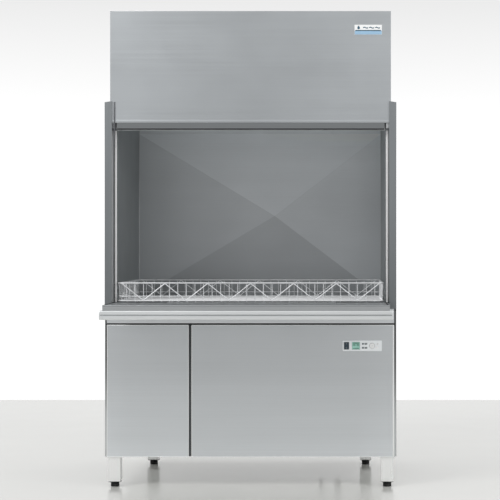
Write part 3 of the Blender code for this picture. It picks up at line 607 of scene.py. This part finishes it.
FINISHES = (
    (FACE, "upper_door_skin lower_door_skin"),
    (SILL, "upper_door_liner front_rail"),
    (LEFT_PANEL, "front_panel_left"),
    (PANEL, "front_panel_right"),
    (SIDE, "side_panel_left side_panel_right rear_panel"),
    (TABLE, "top_cover lower_door_liner"),
    (SHADED_POST, "door_post_left door_post_right"),
    (SHADE_WALL, "chamber_side_left chamber_side_right"),
    (WALL, "chamber_rear_wall"),
    (ROOF, "chamber_roof"),
    (TANK, "wash_tank"),
    (STRAINER, "tank_strainer"),
    (ARM, "rack_rails lower_manifold upper_manifold"),
    (TRAY, "base_tray"),
    (BOILER, "rinse_boiler"),
    (BOX, "control_box"),
    (MOTOR, "wash_pump_left wash_pump_right"),
    (IRON, "counterweight_left counterweight_right"),
    (PULLEY, "pulley_left pulley_right"),
    (WHITE, "badge_plate start_button"),
    (PALE, "control_bezel"),
    (SCREEN, "display_window"),
    (NAVY, "power_rocker"),
    (BLACK, "cable_gland"),
    (FIXING, "water_inlet"),
    (LEG, " ".join(f"leg_{place}" for place in LEG_PLACES)),
    (RUBBER, " ".join(f"foot_{place}" for place in LEG_PLACES)),
)
for material, names in FINISHES:
    for name in names.split():
        for slot in nodes[name].material_slots:
            slot.material = material


# ---- wire rack
def build_rack():
    """Welded basket of round wire: rims, floor grid, and trussed walls."""
    shape = bmesh.new()
    rim, thin, stiff, slant = 0.0034, 0.0016, 0.0026, 0.0023
    corner, bend, inset = 0.028, 0.008, 0.0030
    columns, rows = 31, 16
    x0, x1 = RACK_LOW.x + rim, RACK_HIGH.x - rim
    y0, y1 = RACK_LOW.y + rim, RACK_HIGH.y - rim
    floor_z, top_z = RACK_LOW.z + 0.0060, RACK_HIGH.z - rim
    low_rail = floor_z + (top_z - floor_z) * 0.28
    outline = rounded_rectangle(x0, y0, x1, y1, corner, 6)
    low_rim = floor_z + 0.002
    for z, radius, sides in ((top_z, rim, 10), (low_rim, 0.0028, 10), (low_rail, 0.0020, 8)):
        hoop(shape, "z", z, outline, radius, sides)
    under = floor_z - 0.0030
    for i in range(1, columns):
        x = x0 + (x1 - x0) * i / columns
        ends = [(x, y0 + inset, top_z), (x, y0 + inset, under),
                (x, y1 - inset, under), (x, y1 - inset, top_z)]
        wire(shape, filleted(ends, bend), thin, 6)
    for i in range(1, rows):
        y = y0 + (y1 - y0) * i / rows
        ends = [(x0 + inset, y, top_z), (x0 + inset, y, floor_z),
                (x1 - inset, y, floor_z), (x1 - inset, y, top_z)]
        wire(shape, filleted(ends, bend), thin if i % 4 else stiff, 6)
    low, high = floor_z + 0.004, top_z - 0.002
    for bays, start, end, side, fixed in (
        (6, x0 + 0.020, x1 - 0.020, "x", (y0 - 0.0004, y1 + 0.0004)),
        (3, y0 + 0.020, y1 - 0.020, "y", (x0 - 0.0004, x1 + 0.0004)),
    ):
        for level in fixed:
            points = []
            for i in range(bays * 2 + 1):
                along = start + (end - start) * i / (bays * 2)
                z = low if i % 2 else high
                points.append((along, level, z) if side == "x" else (level, along, z))
            wire(shape, filleted(points, 0.007), slant, 8)
    keep(
        "wire_rack", shape, WIRE, "rack_front", "rack",
        replaces=("rack_floor", "rack_front", "rack_back", "rack_left", "rack_right"),
    )


# ---- doors
def build_handle():
    """Handle bar of the lower door: two rounded bands with a groove darkened by painted shade, and
    rounded closed ends.
    """
    top, bottom = HANDLE_HIGH.z, HANDLE_LOW.z
    face, depth = HANDLE_LOW.y, HANDLE_HIGH.y
    band, groove, back = 0.0060, 0.0022, 0.020
    middle = (top + bottom) / 2
    length = HANDLE_HIGH.x - 0.005
    section = [(depth, top)]
    section += arc(face + band, top - band, band, 90, 180, 8)
    section += [
        (face + 0.0003, middle + groove + 0.0012), (face + 0.0020, middle + groove),
        (face + 0.0020, middle - groove), (face + 0.0003, middle - groove - 0.0012),
    ]
    section += arc(face + band, bottom + band, band, 180, 270, 8)
    section += [(face + back, bottom), (face + back, top - 0.012), (depth, top - 0.006)]
    bar(
        "handle_bar", "x", section, -length, length, BAR, "lower_door_handle", "lower_door",
        sharp=30, replaces=("lower_door_handle",),
    )
    # inlay painted as the shade in the handle's groove
    slab(
        "handle_groove", (-length + 0.002, face + 0.0012, middle - 0.0020),
        (length - 0.002, face + 0.0030, middle + 0.0020), 0.0006,
        GROOVE_SHADE, "lower_door_handle", "lower_door",
    )
    cap_depth, cap_radius = 0.0225, 0.0098
    for side, sign in SIDES:
        cap = bmesh.new()
        rings = []
        for inset, reach in ((0.0, -0.0002), (0.0, 0.002), (0.0018, 0.0042), (0.0045, 0.0050)):
            outline = rounded_rectangle(
                face + inset, bottom + inset, face + cap_depth - inset, top - inset,
                cap_radius - inset, 6,
            )
            rings.append([cap.verts.new((sign * (length + reach), a, b)) for a, b in outline])
        skinned(cap, rings)
        cap.faces.new(rings[0])
        cap.faces.new(rings[-1])
        keep(f"handle_end_{side}", cap, BAR, "lower_door_handle", "lower_door", sharp=50)


def build_lower_door_trim():
    """Seals along the shelf's edges, its front fold, and the screws under the lower door."""
    x0, x1 = SHELF_LOW.x, SHELF_HIGH.x
    front, back, top = SHELF_LOW.y, SHELF_HIGH.y, SHELF_HIGH.z
    seal = bmesh.new()
    for low, high in ((x0 + 0.004, x0 + 0.013), (x1 - 0.013, x1 - 0.004)):
        box(seal, (low, front + 0.030, top - 0.0005), (high, back - 0.024, top + 0.0012), 0.0007)
    keep("shelf_edge_seal", seal, SEAL, "lower_door_liner", "lower_door")
    outline = [(front - 0.0008, top - 0.007)]
    outline += arc(front + 0.0045, top - 0.0045, 0.0053, 180, 90, 8)
    outline += [(front + 0.008, top + 0.0006), (front + 0.008, top - 0.0004),
                (front + 0.0004, top - 0.0075)]
    bar(
        "shelf_front_fold", "x", outline, x0 + 0.0005, x1 - 0.0005,
        FOLD, "lower_door_liner", "lower_door", sharp=50,
    )
    screws = bmesh.new()
    first, last, gaps = x0 + 0.10, x1 - 0.10, 6
    for i in range(gaps + 1):
        x = first + (last - first) * i / gaps
        for y in (front + 0.052, back - 0.034):
            screw_head(screws, "z", (x, y), SHELF_LOW.z, -1, 0.0045)
    keep("shelf_screws", screws, FIXING, "lower_door_skin", "lower_door")


def build_upper_door_trim():
    """Folded hem, undercut grip, wiper seal, stiffening ribs and top edge of the upper door."""
    x0, x1 = SKIN_LOW.x, SKIN_HIGH.x
    y, z = SKIN_LOW.y, SKIN_LOW.z
    outline = [(y + 0.006, z + 0.015)]
    outline += arc(y + 0.0045, z + 0.0105, 0.0052, 105, 180, 6)
    outline += arc(y + 0.0045, z + 0.0040, 0.0052, 180, 265, 6)
    outline += [(y + 0.006, z - 0.0008)]
    bar(
        "upper_door_hem", "x", outline, x0 + 0.001, x1 - 0.001,
        FACE, "upper_door_skin", "upper_door", sharp=50,
    )
    reach = LINER_HIGH.x - 0.031
    face, low = LINER_LOW.y, LINER_LOW.z
    back = LINER_HIGH.y - 0.0020
    outline = [(back, z - 0.0004), (y + 0.0012, z - 0.0004), (face - 0.0004, z - 0.0050)]
    outline += arc(face + 0.0034, low + 0.0030, 0.0038, 180, 262, 5)
    outline += [(back, low - 0.0008)]
    # the grip's recess is darkened by painted shade
    bar(
        "door_grip", "x", outline, -reach, reach,
        GRIP_SHADE, "upper_door_liner", "upper_door", sharp=50,
    )
    outline = [
        (face - 0.0009, low + 0.0032), (face - 0.0009, low - 0.0012), (face + 0.0120, low - 0.0014),
        (face + 0.0140, low - 0.0004), (face + 0.0004, low - 0.0004), (face - 0.0002, low + 0.0036),
    ]
    bar(
        "upper_door_wiper", "x", outline, 0.002 - reach, reach - 0.002,
        SEAL, "upper_door_liner", "upper_door", smooth=False,
    )
    ends = bmesh.new()
    for _, sign in SIDES:
        left, right = mirrored(sign, reach + 0.0002, reach + 0.0070)
        box(ends, (left, face + 0.004, low + 0.0065), (right, back, z - 0.0006), 0.0008)
    keep("grip_end_seals", ends, SEAL, "upper_door_liner", "upper_door")
    ribs = bmesh.new()
    for share in (0.36, 0.68):
        level = z + (SKIN_HIGH.z - z) * share
        section = pressed_rib(UPPER_BACK, level, 0.0002, 0.0032, 0.020, 0.014)
        extruded(ribs, "x", section, -0.600, 0.600)
    keep("upper_door_ribs", ribs, SILL, "upper_door_liner", "upper_door", sharp=20)
    slab(
        "upper_door_top_edge", (x0 + 0.0002, y - 0.0006, SKIN_HIGH.z - 0.0008),
        (x1 - 0.0002, UPPER_BACK + 0.0004, SKIN_HIGH.z + 0.0012), 0.0008,
        SILL, "upper_door_skin", "upper_door",
    )


def build_badge():
    """Plain two-tone badge with a generic droplet and waves, no lettering."""
    x0, x1, y, low = BADGE_LOW.x, BADGE_HIGH.x, BADGE_LOW.y, BADGE_LOW.z
    height = BADGE_HIGH.z - low
    slab(
        "badge_band", (x0 + 0.001, y - 0.0006, low + 0.001),
        (x1 - 0.001, y + 0.0002, low + height * 0.40), 0.0002, BLUE, "badge_plate", "upper_door",
    )
    slab(
        "badge_line", (x0 + 0.004, y - 0.0008, low + height * 0.36),
        (x1 - 0.004, y - 0.0001, low + height * 0.47), 0.0002,
        DARK_BLUE, "badge_plate", "upper_door",
    )
    mark = bmesh.new()
    centre_x, centre_z, size = x0 + 0.020, low + height * 0.68, 0.0062
    outline = arc(centre_x, centre_z, size, -215, 35, 18)
    outline.append((centre_x, centre_z + size * 2.0))
    extruded(mark, "y", outline, y - 0.0006, y + 0.0002)
    length, swing, thickness, steps = 0.024, 0.0022, 0.0046, 8
    for i in range(3):
        x = x0 + 0.042 + 0.029 * i
        wave = []
        for k in range(steps + 1):
            level = centre_z - 0.001 + swing * math.sin(2 * math.pi * k / steps)
            wave.append((x + length * k / steps, level))
        outline = wave + [(a, b + thickness) for a, b in reversed(wave)]
        extruded(mark, "y", outline, y - 0.0006, y + 0.0002)
    keep("badge_mark", mark, DARK_BLUE, "badge_plate", "upper_door", smooth=False)


# ---- controls
def build_controls():
    """Frames, display rows and plain marks on the control bezel."""
    y = BEZEL_LOW.y
    mid_z = (BEZEL_LOW.z + BEZEL_HIGH.z) / 2
    rim = bmesh.new()
    lip = 0.0008
    outline = rounded_rectangle(
        BEZEL_LOW.x - lip, BEZEL_LOW.z - lip, BEZEL_HIGH.x + lip, BEZEL_HIGH.z + lip, 0.0025,
    )
    hoop(rim, "y", y + 0.0018, outline, 0.0010)
    keep("bezel_rim", rim, PALE, "control_bezel")
    frames = bmesh.new()
    for low, high, gap in ((WINDOW_LOW, WINDOW_HIGH, 0.0010), (ROCKER_LOW, ROCKER_HIGH, 0.0012)):
        outline = rounded_rectangle(low.x - gap, low.z - gap, high.x + gap, high.z + gap, 0.0016)
        hoop(frames, "y", y - 0.0001, outline, 0.0007)
    keep("control_frames", frames, STONE, "control_bezel")
    rows = bmesh.new()
    left = WINDOW_LOW.x + 0.0040
    wide = WINDOW_HIGH.x - WINDOW_LOW.x - 0.0080
    top, face = WINDOW_HIGH.z - 0.0045, WINDOW_LOW.y
    for start, end, drop, half in (
        (0.0, 1.0, 0.0, 0.0024), (0.0, 0.42, 0.0085, 0.0028),
        (0.60, 1.0, 0.0085, 0.0028), (0.0, 1.0, 0.0250, 0.0018),
    ):
        box(rows, (left + wide * start, face - 0.0002, top - drop - half),
            (left + wide * end, face + 0.0002, top - drop + half), 0.0001, 1)
    keep("display_rows", rows, GLYPH, "display_window", smooth=False)
    marks = bmesh.new()
    for level in (0.0097, -0.0094):
        for i, width in enumerate((0.0062, 0.0044, 0.0060, 0.0046)):
            start = WINDOW_HIGH.x + 0.0108 + 0.0070 * i
            box(marks, (start, y - 0.0006, mid_z + level - 0.0042),
                (start + width, y + 0.0002, mid_z + level + 0.0042), 0.0008)
    keep("programme_marks", marks, INK, "control_bezel")
    start_x = (BUTTON_LOW.x + BUTTON_HIGH.x) / 2
    radius = (BUTTON_HIGH.x - BUTTON_LOW.x) / 2 + 0.0018
    ring = bmesh.new()
    hoop(ring, "y", y - 0.0001, arc(start_x, mid_z, radius, 0, 350, 35), 0.0007)
    turned(ring, "y", (start_x + 0.0262, mid_z + 0.0093),
           [(0.0052, y + 0.0003), (0.0052, y - 0.0006), (0.0036, y - 0.0014)], 24)
    keep("button_ring", ring, FAINT, "control_bezel")
    key = bmesh.new()
    turned(key, "y", (start_x + 0.0215, mid_z - 0.0085),
           [(0.0058, y + 0.0003), (0.0058, y - 0.0008), (0.0046, y - 0.0013)], 24)
    keep("programme_key", key, WHITE, "control_bezel")
    rocker = bmesh.new()
    middle = (ROCKER_LOW.x + ROCKER_HIGH.x) / 2
    pivot = ROCKER_LOW.y + 0.0008
    box(rocker, (middle - 0.0008, pivot - 0.0010, mid_z + 0.0075),
        (middle + 0.0008, pivot + 0.0010, mid_z + 0.0125), 0.0002, 1)
    hoop(rocker, "y", pivot - 0.0001, arc(middle, mid_z - 0.0100, 0.0026, 0, 340, 17), 0.0005, 5)
    keep("rocker_marks", rocker, STONE, "power_rocker", "power_switch")
    triangle = [(start_x - 0.0026, mid_z - 0.0042), (start_x + 0.0046, mid_z),
                (start_x - 0.0026, mid_z + 0.0042)]
    bar(
        "start_mark", "y", triangle, BUTTON_LOW.y - 0.0002, BUTTON_LOW.y + 0.0002,
        FAINT, "start_button", "start_key", smooth=False,
    )


# ---- cabinet details
def build_panel_trim():
    """Dark gap strips, side strips painted as the shade of the side gaps, and folded edges of the
    lower front panels with painted highlights.
    """
    top_z, rail_z = PANEL_HIGH.z, RAIL_LOW.z
    reach = PANEL_HIGH.x - 0.004
    # Dark strips fill the gap under the rail and the gap between the two lower panels.
    slab(
        "rail_gap_strip", (-reach, FRONT + 0.010, top_z + 0.0008),
        (reach, FRONT + 0.020, rail_z - 0.0006), 0.0010, SEAL, "front_rail",
    )
    slab(
        "panel_gap_strip", (LEFT_PANEL_HIGH.x + 0.0008, FRONT + 0.010, PANEL_LOW.z + 0.002),
        (PANEL_LOW.x - 0.0008, FRONT + 0.020, top_z), 0.0010, GREY_GAP_FILL, "front_rail",
    )
    # strips painted as the shade of the gaps between the front panels and the side panels
    bands = bmesh.new()
    for _, sign in SIDES:
        low, high = mirrored(sign, PANEL_HIGH.x + 0.0006, cad_high.x - 0.0026)
        box(bands, (low, FRONT + 0.0052, PANEL_LOW.z + 0.001),
            (high, FRONT + 0.012, rail_z + 0.060), 0.0012)
    keep("side_gap_shade_strips", bands, SIDE_GAP_SHADE, "side_panel_right")
    # rounded folds along the panel edges, in near-white steel as a painted highlight
    folds = bmesh.new()
    inset = 0.0006
    for low, high in ((LEFT_PANEL_LOW, LEFT_PANEL_HIGH), (PANEL_LOW, PANEL_HIGH)):
        outline = rounded_rectangle(
            low.x + inset, low.z + inset, high.x - inset, high.z - inset, 0.002, 3,
        )
        hoop(folds, "y", low.y + 0.0010, outline, 0.0016, 8)
    # flat strip painted as the highlight on the right panel's right fold
    box(folds, (PANEL_HIGH.x - 0.0056, PANEL_LOW.y - 0.0004, PANEL_LOW.z + 0.0012),
        (PANEL_HIGH.x - 0.0008, PANEL_LOW.y + 0.0012, top_z - 0.0012), 0.0003)
    keep("panel_fold_highlights", folds, EDGE_HIGHLIGHT, "front_panel_right")


def build_guides():
    """Guide strips in white as a painted highlight, their cheeks in painted light and shade, a
    painted shade line beside the left strip, and a dark strip painted as the shadow in the gap
    beside the upper door.
    """
    flange = POST_HIGH.x - 0.035
    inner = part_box("chamber_side_right")[0].x
    bottom, top = SHELF_HIGH.z + 0.001, 1.734
    strip_y = (FRONT + 0.0373, FRONT + 0.0386)
    cheek_y = (FRONT + 0.0389, FRONT + 0.0399)
    for side, sign, near, far, cheek_shading in (
        ("left", -1, -0.0010, 0.0092, LIT_CHEEK), ("right", 1, 0.0035, 0.0140, SHADED_POST),
    ):
        slot = f"door_post_{side}"
        low, high = mirrored(sign, inner + near, inner + far)
        # white strip as a painted highlight on the guide
        slab(
            f"guide_highlight_strip_{side}", (low, strip_y[0], bottom), (high, strip_y[1], top), 0.0004,
            STRIP_HIGHLIGHT, slot,
        )
        # cheek: the left one in lighter paint as painted light, the right one in the dark post
        # steel as painted shade
        low, high = mirrored(sign, inner + 0.0003, flange + 0.0150)
        slab(
            f"guide_cheek_{side}", (low, cheek_y[0], bottom), (high, cheek_y[1], top), 0.0003,
            cheek_shading, slot, segments=1,
        )
    # dark line painted as shade between the left cheek and the guide strip
    slab(
        "guide_shade_line", (-inner - 0.0150, strip_y[0], bottom), (-inner - 0.0096, strip_y[1], top),
        0.0004, GREY_GAP_FILL, "door_post_left",
    )
    # dark strip painted as the shadow in the gap between the left post and the upper door
    slab(
        "guide_gap_shade", (0.0085 - flange, FRONT + 0.0010, LINER_LOW.z - 0.092),
        (0.0153 - flange, FRONT + 0.0042, POST_HIGH.z - 0.004), 0.0008,
        GAP_SHADE, "door_post_left",
    )


def build_feet():
    """Plug, hexagon and foot cover under each leg, and the flange that carries it."""
    for place in LEG_PLACES:
        low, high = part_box(f"leg_{place}")
        x, y = (low.x + high.x) / 2, (low.y + high.y) / 2
        half = (high.x - low.x) / 2
        inside, outside = half - 0.0012, half + 0.006
        plug = bmesh.new()
        box(plug, (x - inside, y - inside, low.z - 0.0018),
            (x + inside, y + inside, low.z + 0.0010), 0.0006, 3)
        turned(plug, "z", (x, y), [(0.0120, 0.0160), (0.0140, 0.0170), (0.0140, 0.0225)], 6)
        turned(plug, "z", (x, y),
               [(0.0190, 0.0), (0.0204, 0.0014), (0.0204, 0.0160), (0.0192, 0.0176)], 36)
        keep(f"foot_cover_{place}", plug, RUBBER, f"foot_{place}", sharp=45)
        slab(
            f"leg_flange_{place}", (x - outside, y - outside, high.z - 0.0035),
            (x + outside, y + outside, high.z - 0.0002), 0.0012, TRAY, f"leg_{place}",
        )


def build_sides():
    """Seams, screws and vents on the side panels."""
    seams, vents, screws = bmesh.new(), bmesh.new(), bmesh.new()
    seam_z, seam_top, shoulder = RAIL_LOW.z + 0.069, 1.836, 0.9
    for _, sign in SIDES:
        wall = sign * cad_high.x
        low, high = mirrored(sign, cad_high.x - 0.0004, cad_high.x + 0.0004)
        box(seams, (low, FRONT + 0.104, seam_z - 0.0012), (high, REAR - 0.004, seam_z + 0.0012),
            0.0003, 1)
        box(seams, (low, REAR - 0.046, PANEL_LOW.z + 0.004), (high, REAR - 0.0440, seam_top),
            0.0003, 1)
        for i in range(9):
            z = 0.235 + 0.022 * i
            section = ((0.0, z), (0.0050, z + 0.002), (0.0056, z + 0.004), (0.0, z + 0.011))
            outline = [(wall + sign * (a - 0.0003), b) for a, b in section]
            extruded(vents, "y", outline, 0.080, 0.300)
        for z in (0.180, 0.480, 0.820, 0.910, 1.180, 1.500, 1.800):
            screw_head(screws, "x", (REAR - 0.022, z), wall, sign, 0.0042)
            if z > shoulder:
                screw_head(screws, "x", (FRONT + 0.125, z), wall, sign, 0.0042)
    keep("side_seams", seams, SEAL, "side_panel_left")
    keep("side_vents", vents, SIDE, "side_panel_left", sharp=25)
    keep("side_screws", screws, FIXING, "side_panel_left")


def build_back():
    """Louvres, screws and stiffening ribs of the rear panel, and the top cover's edge."""
    fins, gaps = bmesh.new(), bmesh.new()
    width, sunk = 0.20, REAR - 0.0004
    for left in (-0.45, 0.25):
        for i in range(8):
            z = 0.28 + 0.030 * i
            outline = [(sunk, z), (REAR + 0.0050, z + 0.003), (REAR + 0.0056, z + 0.005),
                       (sunk, z + 0.014)]
            extruded(fins, "x", outline, left, left + width)
            # dark boxes painted as the shade inside the louvre openings
            box(gaps, (left + 0.004, REAR - 0.0003, z - 0.0040),
                (left + width - 0.004, REAR + 0.0010, z - 0.0002), 0.0003, 1)
    keep("rear_louvres", fins, SIDE, "rear_panel", sharp=25)
    keep("rear_louvre_gap_shade", gaps, SEAL, "rear_panel")
    screws = bmesh.new()
    edge = 0.685
    places = [(x, z) for x in (-edge, -0.340, 0.0, 0.340, edge) for z in (0.170, 1.815)]
    places += [(x, z) for z in (0.58, 0.99, 1.40) for x in (-edge, edge)]
    for place in places:
        screw_head(screws, "y", place, REAR, 1, 0.0050)
    keep("rear_screws", screws, FIXING, "rear_panel")
    ribs = bmesh.new()
    for z in (0.78, 1.20, 1.60):
        section = pressed_rib(REAR, z, 0.0003, 0.0040, 0.016, 0.010)
        extruded(ribs, "x", section, -0.640, 0.640)
    keep("rear_ribs", ribs, SIDE, "rear_panel", sharp=25)
    fold = bmesh.new()
    low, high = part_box("top_cover")
    inset = 0.0010
    outline = rounded_rectangle(
        low.x + inset, low.y + inset, high.x - inset, high.y - inset, 0.004, 3,
    )
    hoop(fold, "z", high.z - 0.0008, outline, 0.0014)
    keep("top_edge_fold", fold, TABLE, "top_cover")


# ---- water system and lift
def arm_outline(x, y, reach):
    """Outline of a wash arm seen from above: round tips, and a round hub in the middle."""
    tip, hub, neck_x, neck_y = 0.012, 0.034, 0.036, 0.019
    outline = arc(x + reach - tip, y, tip, -90, 90, 10)
    outline += [(x + neck_x, y + neck_y)]
    outline += arc(x, y, hub, 35, 145, 10)
    outline += [(x - neck_x, y + neck_y)]
    outline += arc(x - reach + tip, y, tip, 90, 270, 10)
    outline += [(x - neck_x, y - neck_y)]
    outline += arc(x, y, hub, 215, 325, 10)
    outline += [(x + neck_x, y - neck_y)]
    return outline


def build_arms():
    """Wash arms with softened edges, an open hub and raised jets."""
    bore_radius, bore_sides = 0.0146, 24
    for level, up in (("lower", 1), ("upper", -1)):
        for index, (side, _) in enumerate(SIDES, 1):
            node, body = f"{level}_arm_{side}", f"{level}_arm_{index}"
            low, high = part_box(node)
            x, y = (low.x + high.x) / 2, (low.y + high.y) / 2
            z0, z1 = low.z + 0.0003, high.z - 0.0003
            outline = arm_outline(x, y, (high.x - low.x) / 2)
            inner = [(x + (a - x) * 0.985, y + (b - y) * 0.86) for a, b in outline]
            shape = bmesh.new()
            rings = []
            edge = 0.004
            for points, z in ((inner, z0), (outline, z0 + edge), (outline, z1 - edge), (inner, z1)):
                rings.append([shape.verts.new((a, b, z)) for a, b in points])
            skinned(shape, rings)
            circle = arc(x, y, bore_radius, 0, 345, bore_sides - 1)
            bore = [[shape.verts.new((a, b, z)) for a, b in circle] for z in (z0, z1)]
            for ring, hole in ((rings[0], bore[0]), (rings[-1], bore[1])):
                edges = [shape.edges.get(pair) for pair in zip(ring, ring[1:] + ring[:1])]
                edges += [shape.edges.new(pair) for pair in zip(hole, hole[1:] + hole[:1])]
                bmesh.ops.triangle_fill(shape, use_beauty=True, use_dissolve=False, edges=edges)
            skinned(shape, bore)
            keep(f"{node}_tube", shape, ARM, node, body, sharp=30, replaces=(node,))
            jets = bmesh.new()
            face = z1 if up > 0 else z0
            profile = [(radius, face + up * rise) for radius, rise in (
                (0.0085, -0.0004), (0.0085, 0.0006), (0.0060, 0.0015), (0.0042, 0.0015),
                (0.0038, -0.0002),
            )]
            for k in (-5, -4, -3, -2, 2, 3, 4, 5):
                turned(jets, "z", (x + k * 0.050, y), profile, 18)
            keep(f"{node}_jets", jets, FIXING, node, body)


def build_pump_details():
    """Cooling fins and terminal boxes of the pumps, and the boiler's straps."""
    count = 24
    for side, _ in SIDES:
        low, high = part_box(f"wash_pump_{side}")
        x, y = (low.x + high.x) / 2, (low.y + high.y) / 2
        fins = bmesh.new()
        for i in range(count):
            turn = 2 * math.pi * i / count
            a, b = math.cos(turn), math.sin(turn)
            section = ((0.069, -0.0012), (0.078, -0.0008), (0.078, 0.0008), (0.069, 0.0012))
            outline = [(x + r * a - half * b, y + r * b + half * a) for r, half in section]
            extruded(fins, "z", outline, low.z + 0.115, low.z + 0.285)
        box(fins, (x - 0.030, y - 0.100, low.z + 0.150), (x + 0.030, y - 0.066, low.z + 0.230),
            0.004, 3)
        keep(f"pump_fins_{side}", fins, MOTOR, f"wash_pump_{side}", sharp=30)
    low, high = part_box("rinse_boiler")
    x, y = (low.x + high.x) / 2, (low.y + high.y) / 2
    straps = bmesh.new()
    for z in (low.z + 0.090, low.z + 0.330):
        hoop(straps, "z", z, arc(x, y, 0.1112, 0, 350, 35), 0.0030)
    keep("boiler_straps", straps, FIXING, "rinse_boiler")


def build_lift():
    """Steel cables of the counterbalance: an arc over each pulley and two straight lengths."""
    rope_radius, steps, holes = 0.0015, 6, 5
    for side, _ in SIDES:
        cable_low, cable_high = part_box(f"door_cable_{side}")
        weight_low, weight_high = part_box(f"weight_cable_{side}")
        x = (cable_low.x + cable_high.x) / 2
        door_y = (cable_low.y + cable_high.y) / 2
        weight_y = (weight_low.y + weight_high.y) / 2
        top = cable_high.z
        for name, y, low, body, node in (
            ("door_rope", door_y, cable_low.z, "upper_door", f"door_cable_{side}"),
            ("weight_rope", weight_y, weight_low.z, f"{side}_weight", f"weight_cable_{side}"),
        ):
            rope = bmesh.new()
            points = [(x, y, low + (top - low) * i / steps) for i in range(steps + 1)]
            wire(rope, points, rope_radius, 10)
            piece = keep(f"{name}_{side}", rope, ROPE, node, None, replaces=(node,))
            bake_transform(piece)
        turn = bmesh.new()
        radius = (weight_y - door_y) / 2
        points = [(x, a, b) for a, b in arc(door_y + radius, top, radius, 180, 0, 18)]
        wire(turn, points, rope_radius, 10)
        keep(f"pulley_rope_{side}", turn, ROPE, f"door_cable_{side}")
        low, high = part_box(f"pulley_{side}")
        centre_y, centre_z, spread = (low.y + high.y) / 2, (low.z + high.z) / 2, 0.0165
        dimples = bmesh.new()
        for _, sign in SIDES:
            base = x + sign * 0.0040
            profile = [(0.0045, base - sign * 0.0002), (0.0040, base + sign * 0.0003)]
            for k in range(holes):
                angle = 2 * math.pi * k / holes
                place = (centre_y + spread * math.cos(angle), centre_z + spread * math.sin(angle))
                turned(dimples, "x", place, profile, 16)
        keep(f"pulley_dimples_{side}", dimples, BLACK, f"pulley_{side}", f"{side}_pulley")
        ferrule = bmesh.new()
        foot = weight_low.z
        profile = [(0.0050, foot - 0.0004), (0.0050, foot + 0.010), (0.0028, foot + 0.014)]
        turned(ferrule, "z", (x, weight_y), profile, 16)
        keep(f"weight_ferrule_{side}", ferrule, FIXING, f"counterweight_{side}", f"{side}_weight")


def build_chamber_details():
    """Welds in the rear corners of the wash chamber."""
    low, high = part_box("chamber_rear_wall")
    welds = bmesh.new()
    for _, sign in SIDES:
        x, y = sign * (high.x - 0.0012), high.y - 0.0030
        wire(welds, [(x, y, low.z + 0.02), (x, y, high.z - 0.01)], 0.0022, 8)
    keep("chamber_welds", welds, TANK, "chamber_rear_wall")


build_rack()
build_handle()
build_lower_door_trim()
build_upper_door_trim()
build_badge()
build_controls()
build_panel_trim()
build_guides()
build_feet()
build_sides()
build_back()
build_arms()
build_pump_details()
build_lift()
build_chamber_details()


# ---- floor, light and camera
def build_stage():
    """Pale, slightly glossy studio floor."""
    shape = bmesh.new()
    half = 3.52
    corners = [(-half, -half), (half, -half), (half, half), (-half, half)]
    extruded(shape, "z", corners, -0.050, 0.0)
    made = Shade("studio_floor")
    tone = made.noise(0.7, 3.0)
    grit = made.noise(240.0, 2.0)
    made.uneven(tone, (0.70, 0.70, 0.675), 0.97, 1.02, 0.14, 0.19, Specular_IOR_Level=1.0)
    made.bump(grit, 0.01, 0.0003)
    keep("studio_floor", shape, made.material, None, None, smooth=False)


def area_light(name, place, target, size, power):
    """Rectangular soft light, turned towards a point."""
    data = bpy.data.lights.new(name, "AREA")
    data.shape = "RECTANGLE"
    data.size, data.size_y = size
    data.energy = power
    light = bpy.data.objects.new(name, data)
    bpy.context.scene.collection.objects.link(light)
    light.location = place
    light.rotation_mode = "QUATERNION"
    light.rotation_quaternion = (Vector(target) - Vector(place)).to_track_quat("-Z", "Y")


def build_lights():
    """Pale surroundings, brightest behind the object, with three broad soft lights."""
    world = bpy.data.worlds.new("studio")
    bpy.context.scene.world = world
    world.use_nodes = True
    studio = Tree(world.node_tree)
    direction = studio.node("ShaderNodeTexCoord").outputs["Generated"]
    levels = []
    for axis, stops in (
        ("Z", ((0.0, 0.30), (0.46, 0.42), (0.505, 0.46), (0.53, 0.445), (0.59, 0.335),
               (0.72, 0.40), (1.0, 0.45))),
        ("Y", ((0.0, 0.62), (0.35, 0.62), (0.75, 0.775), (0.93, 0.775), (0.97, 1.0))),
    ):
        place = studio.spread(studio.along(direction, axis), -1.0, 1.0, 0.0, 1.0)
        levels.append(studio.ramp(place, stops))
    colour = studio.mixed(1.0, *levels, blend_type="MULTIPLY")
    studio.feed(studio.tree.nodes["Background"], {"Color": colour, "Strength": 2.516})
    aim = (0.0, FRONT, 1.0)
    area_light("key", (-4.6, -4.4, 5.4), aim, (3.0, 3.0), 190.0)
    area_light("fill", (5.0, -3.6, 4.2), aim, (3.0, 3.0), 110.0)
    area_light("top", (0.0, 0.4, 5.2), (0.0, 0.4, 0.0), (4.0, 3.0), 12.0)


def build_camera():
    """Square-on view; the frame is shifted sideways so that the near inside wall stays edge-on."""
    frame_width, sensor = 2.425, 36.0
    distance, aside, eye = 6.50, 0.45, 1.152
    off_centre = 0.0024
    data = bpy.data.cameras.new("camera")
    data.sensor_width = sensor
    data.lens = sensor * distance / frame_width
    data.shift_x = -(aside + off_centre) / frame_width
    camera = bpy.data.objects.new("camera", data)
    bpy.context.scene.collection.objects.link(camera)
    camera.location = (aside, FRONT - distance, eye)
    camera.rotation_euler = (math.radians(90), 0.0, 0.0)
    bpy.context.scene.camera = camera


build_stage()
build_lights()
build_camera()
bpy.context.scene.view_settings.view_transform = "Standard"
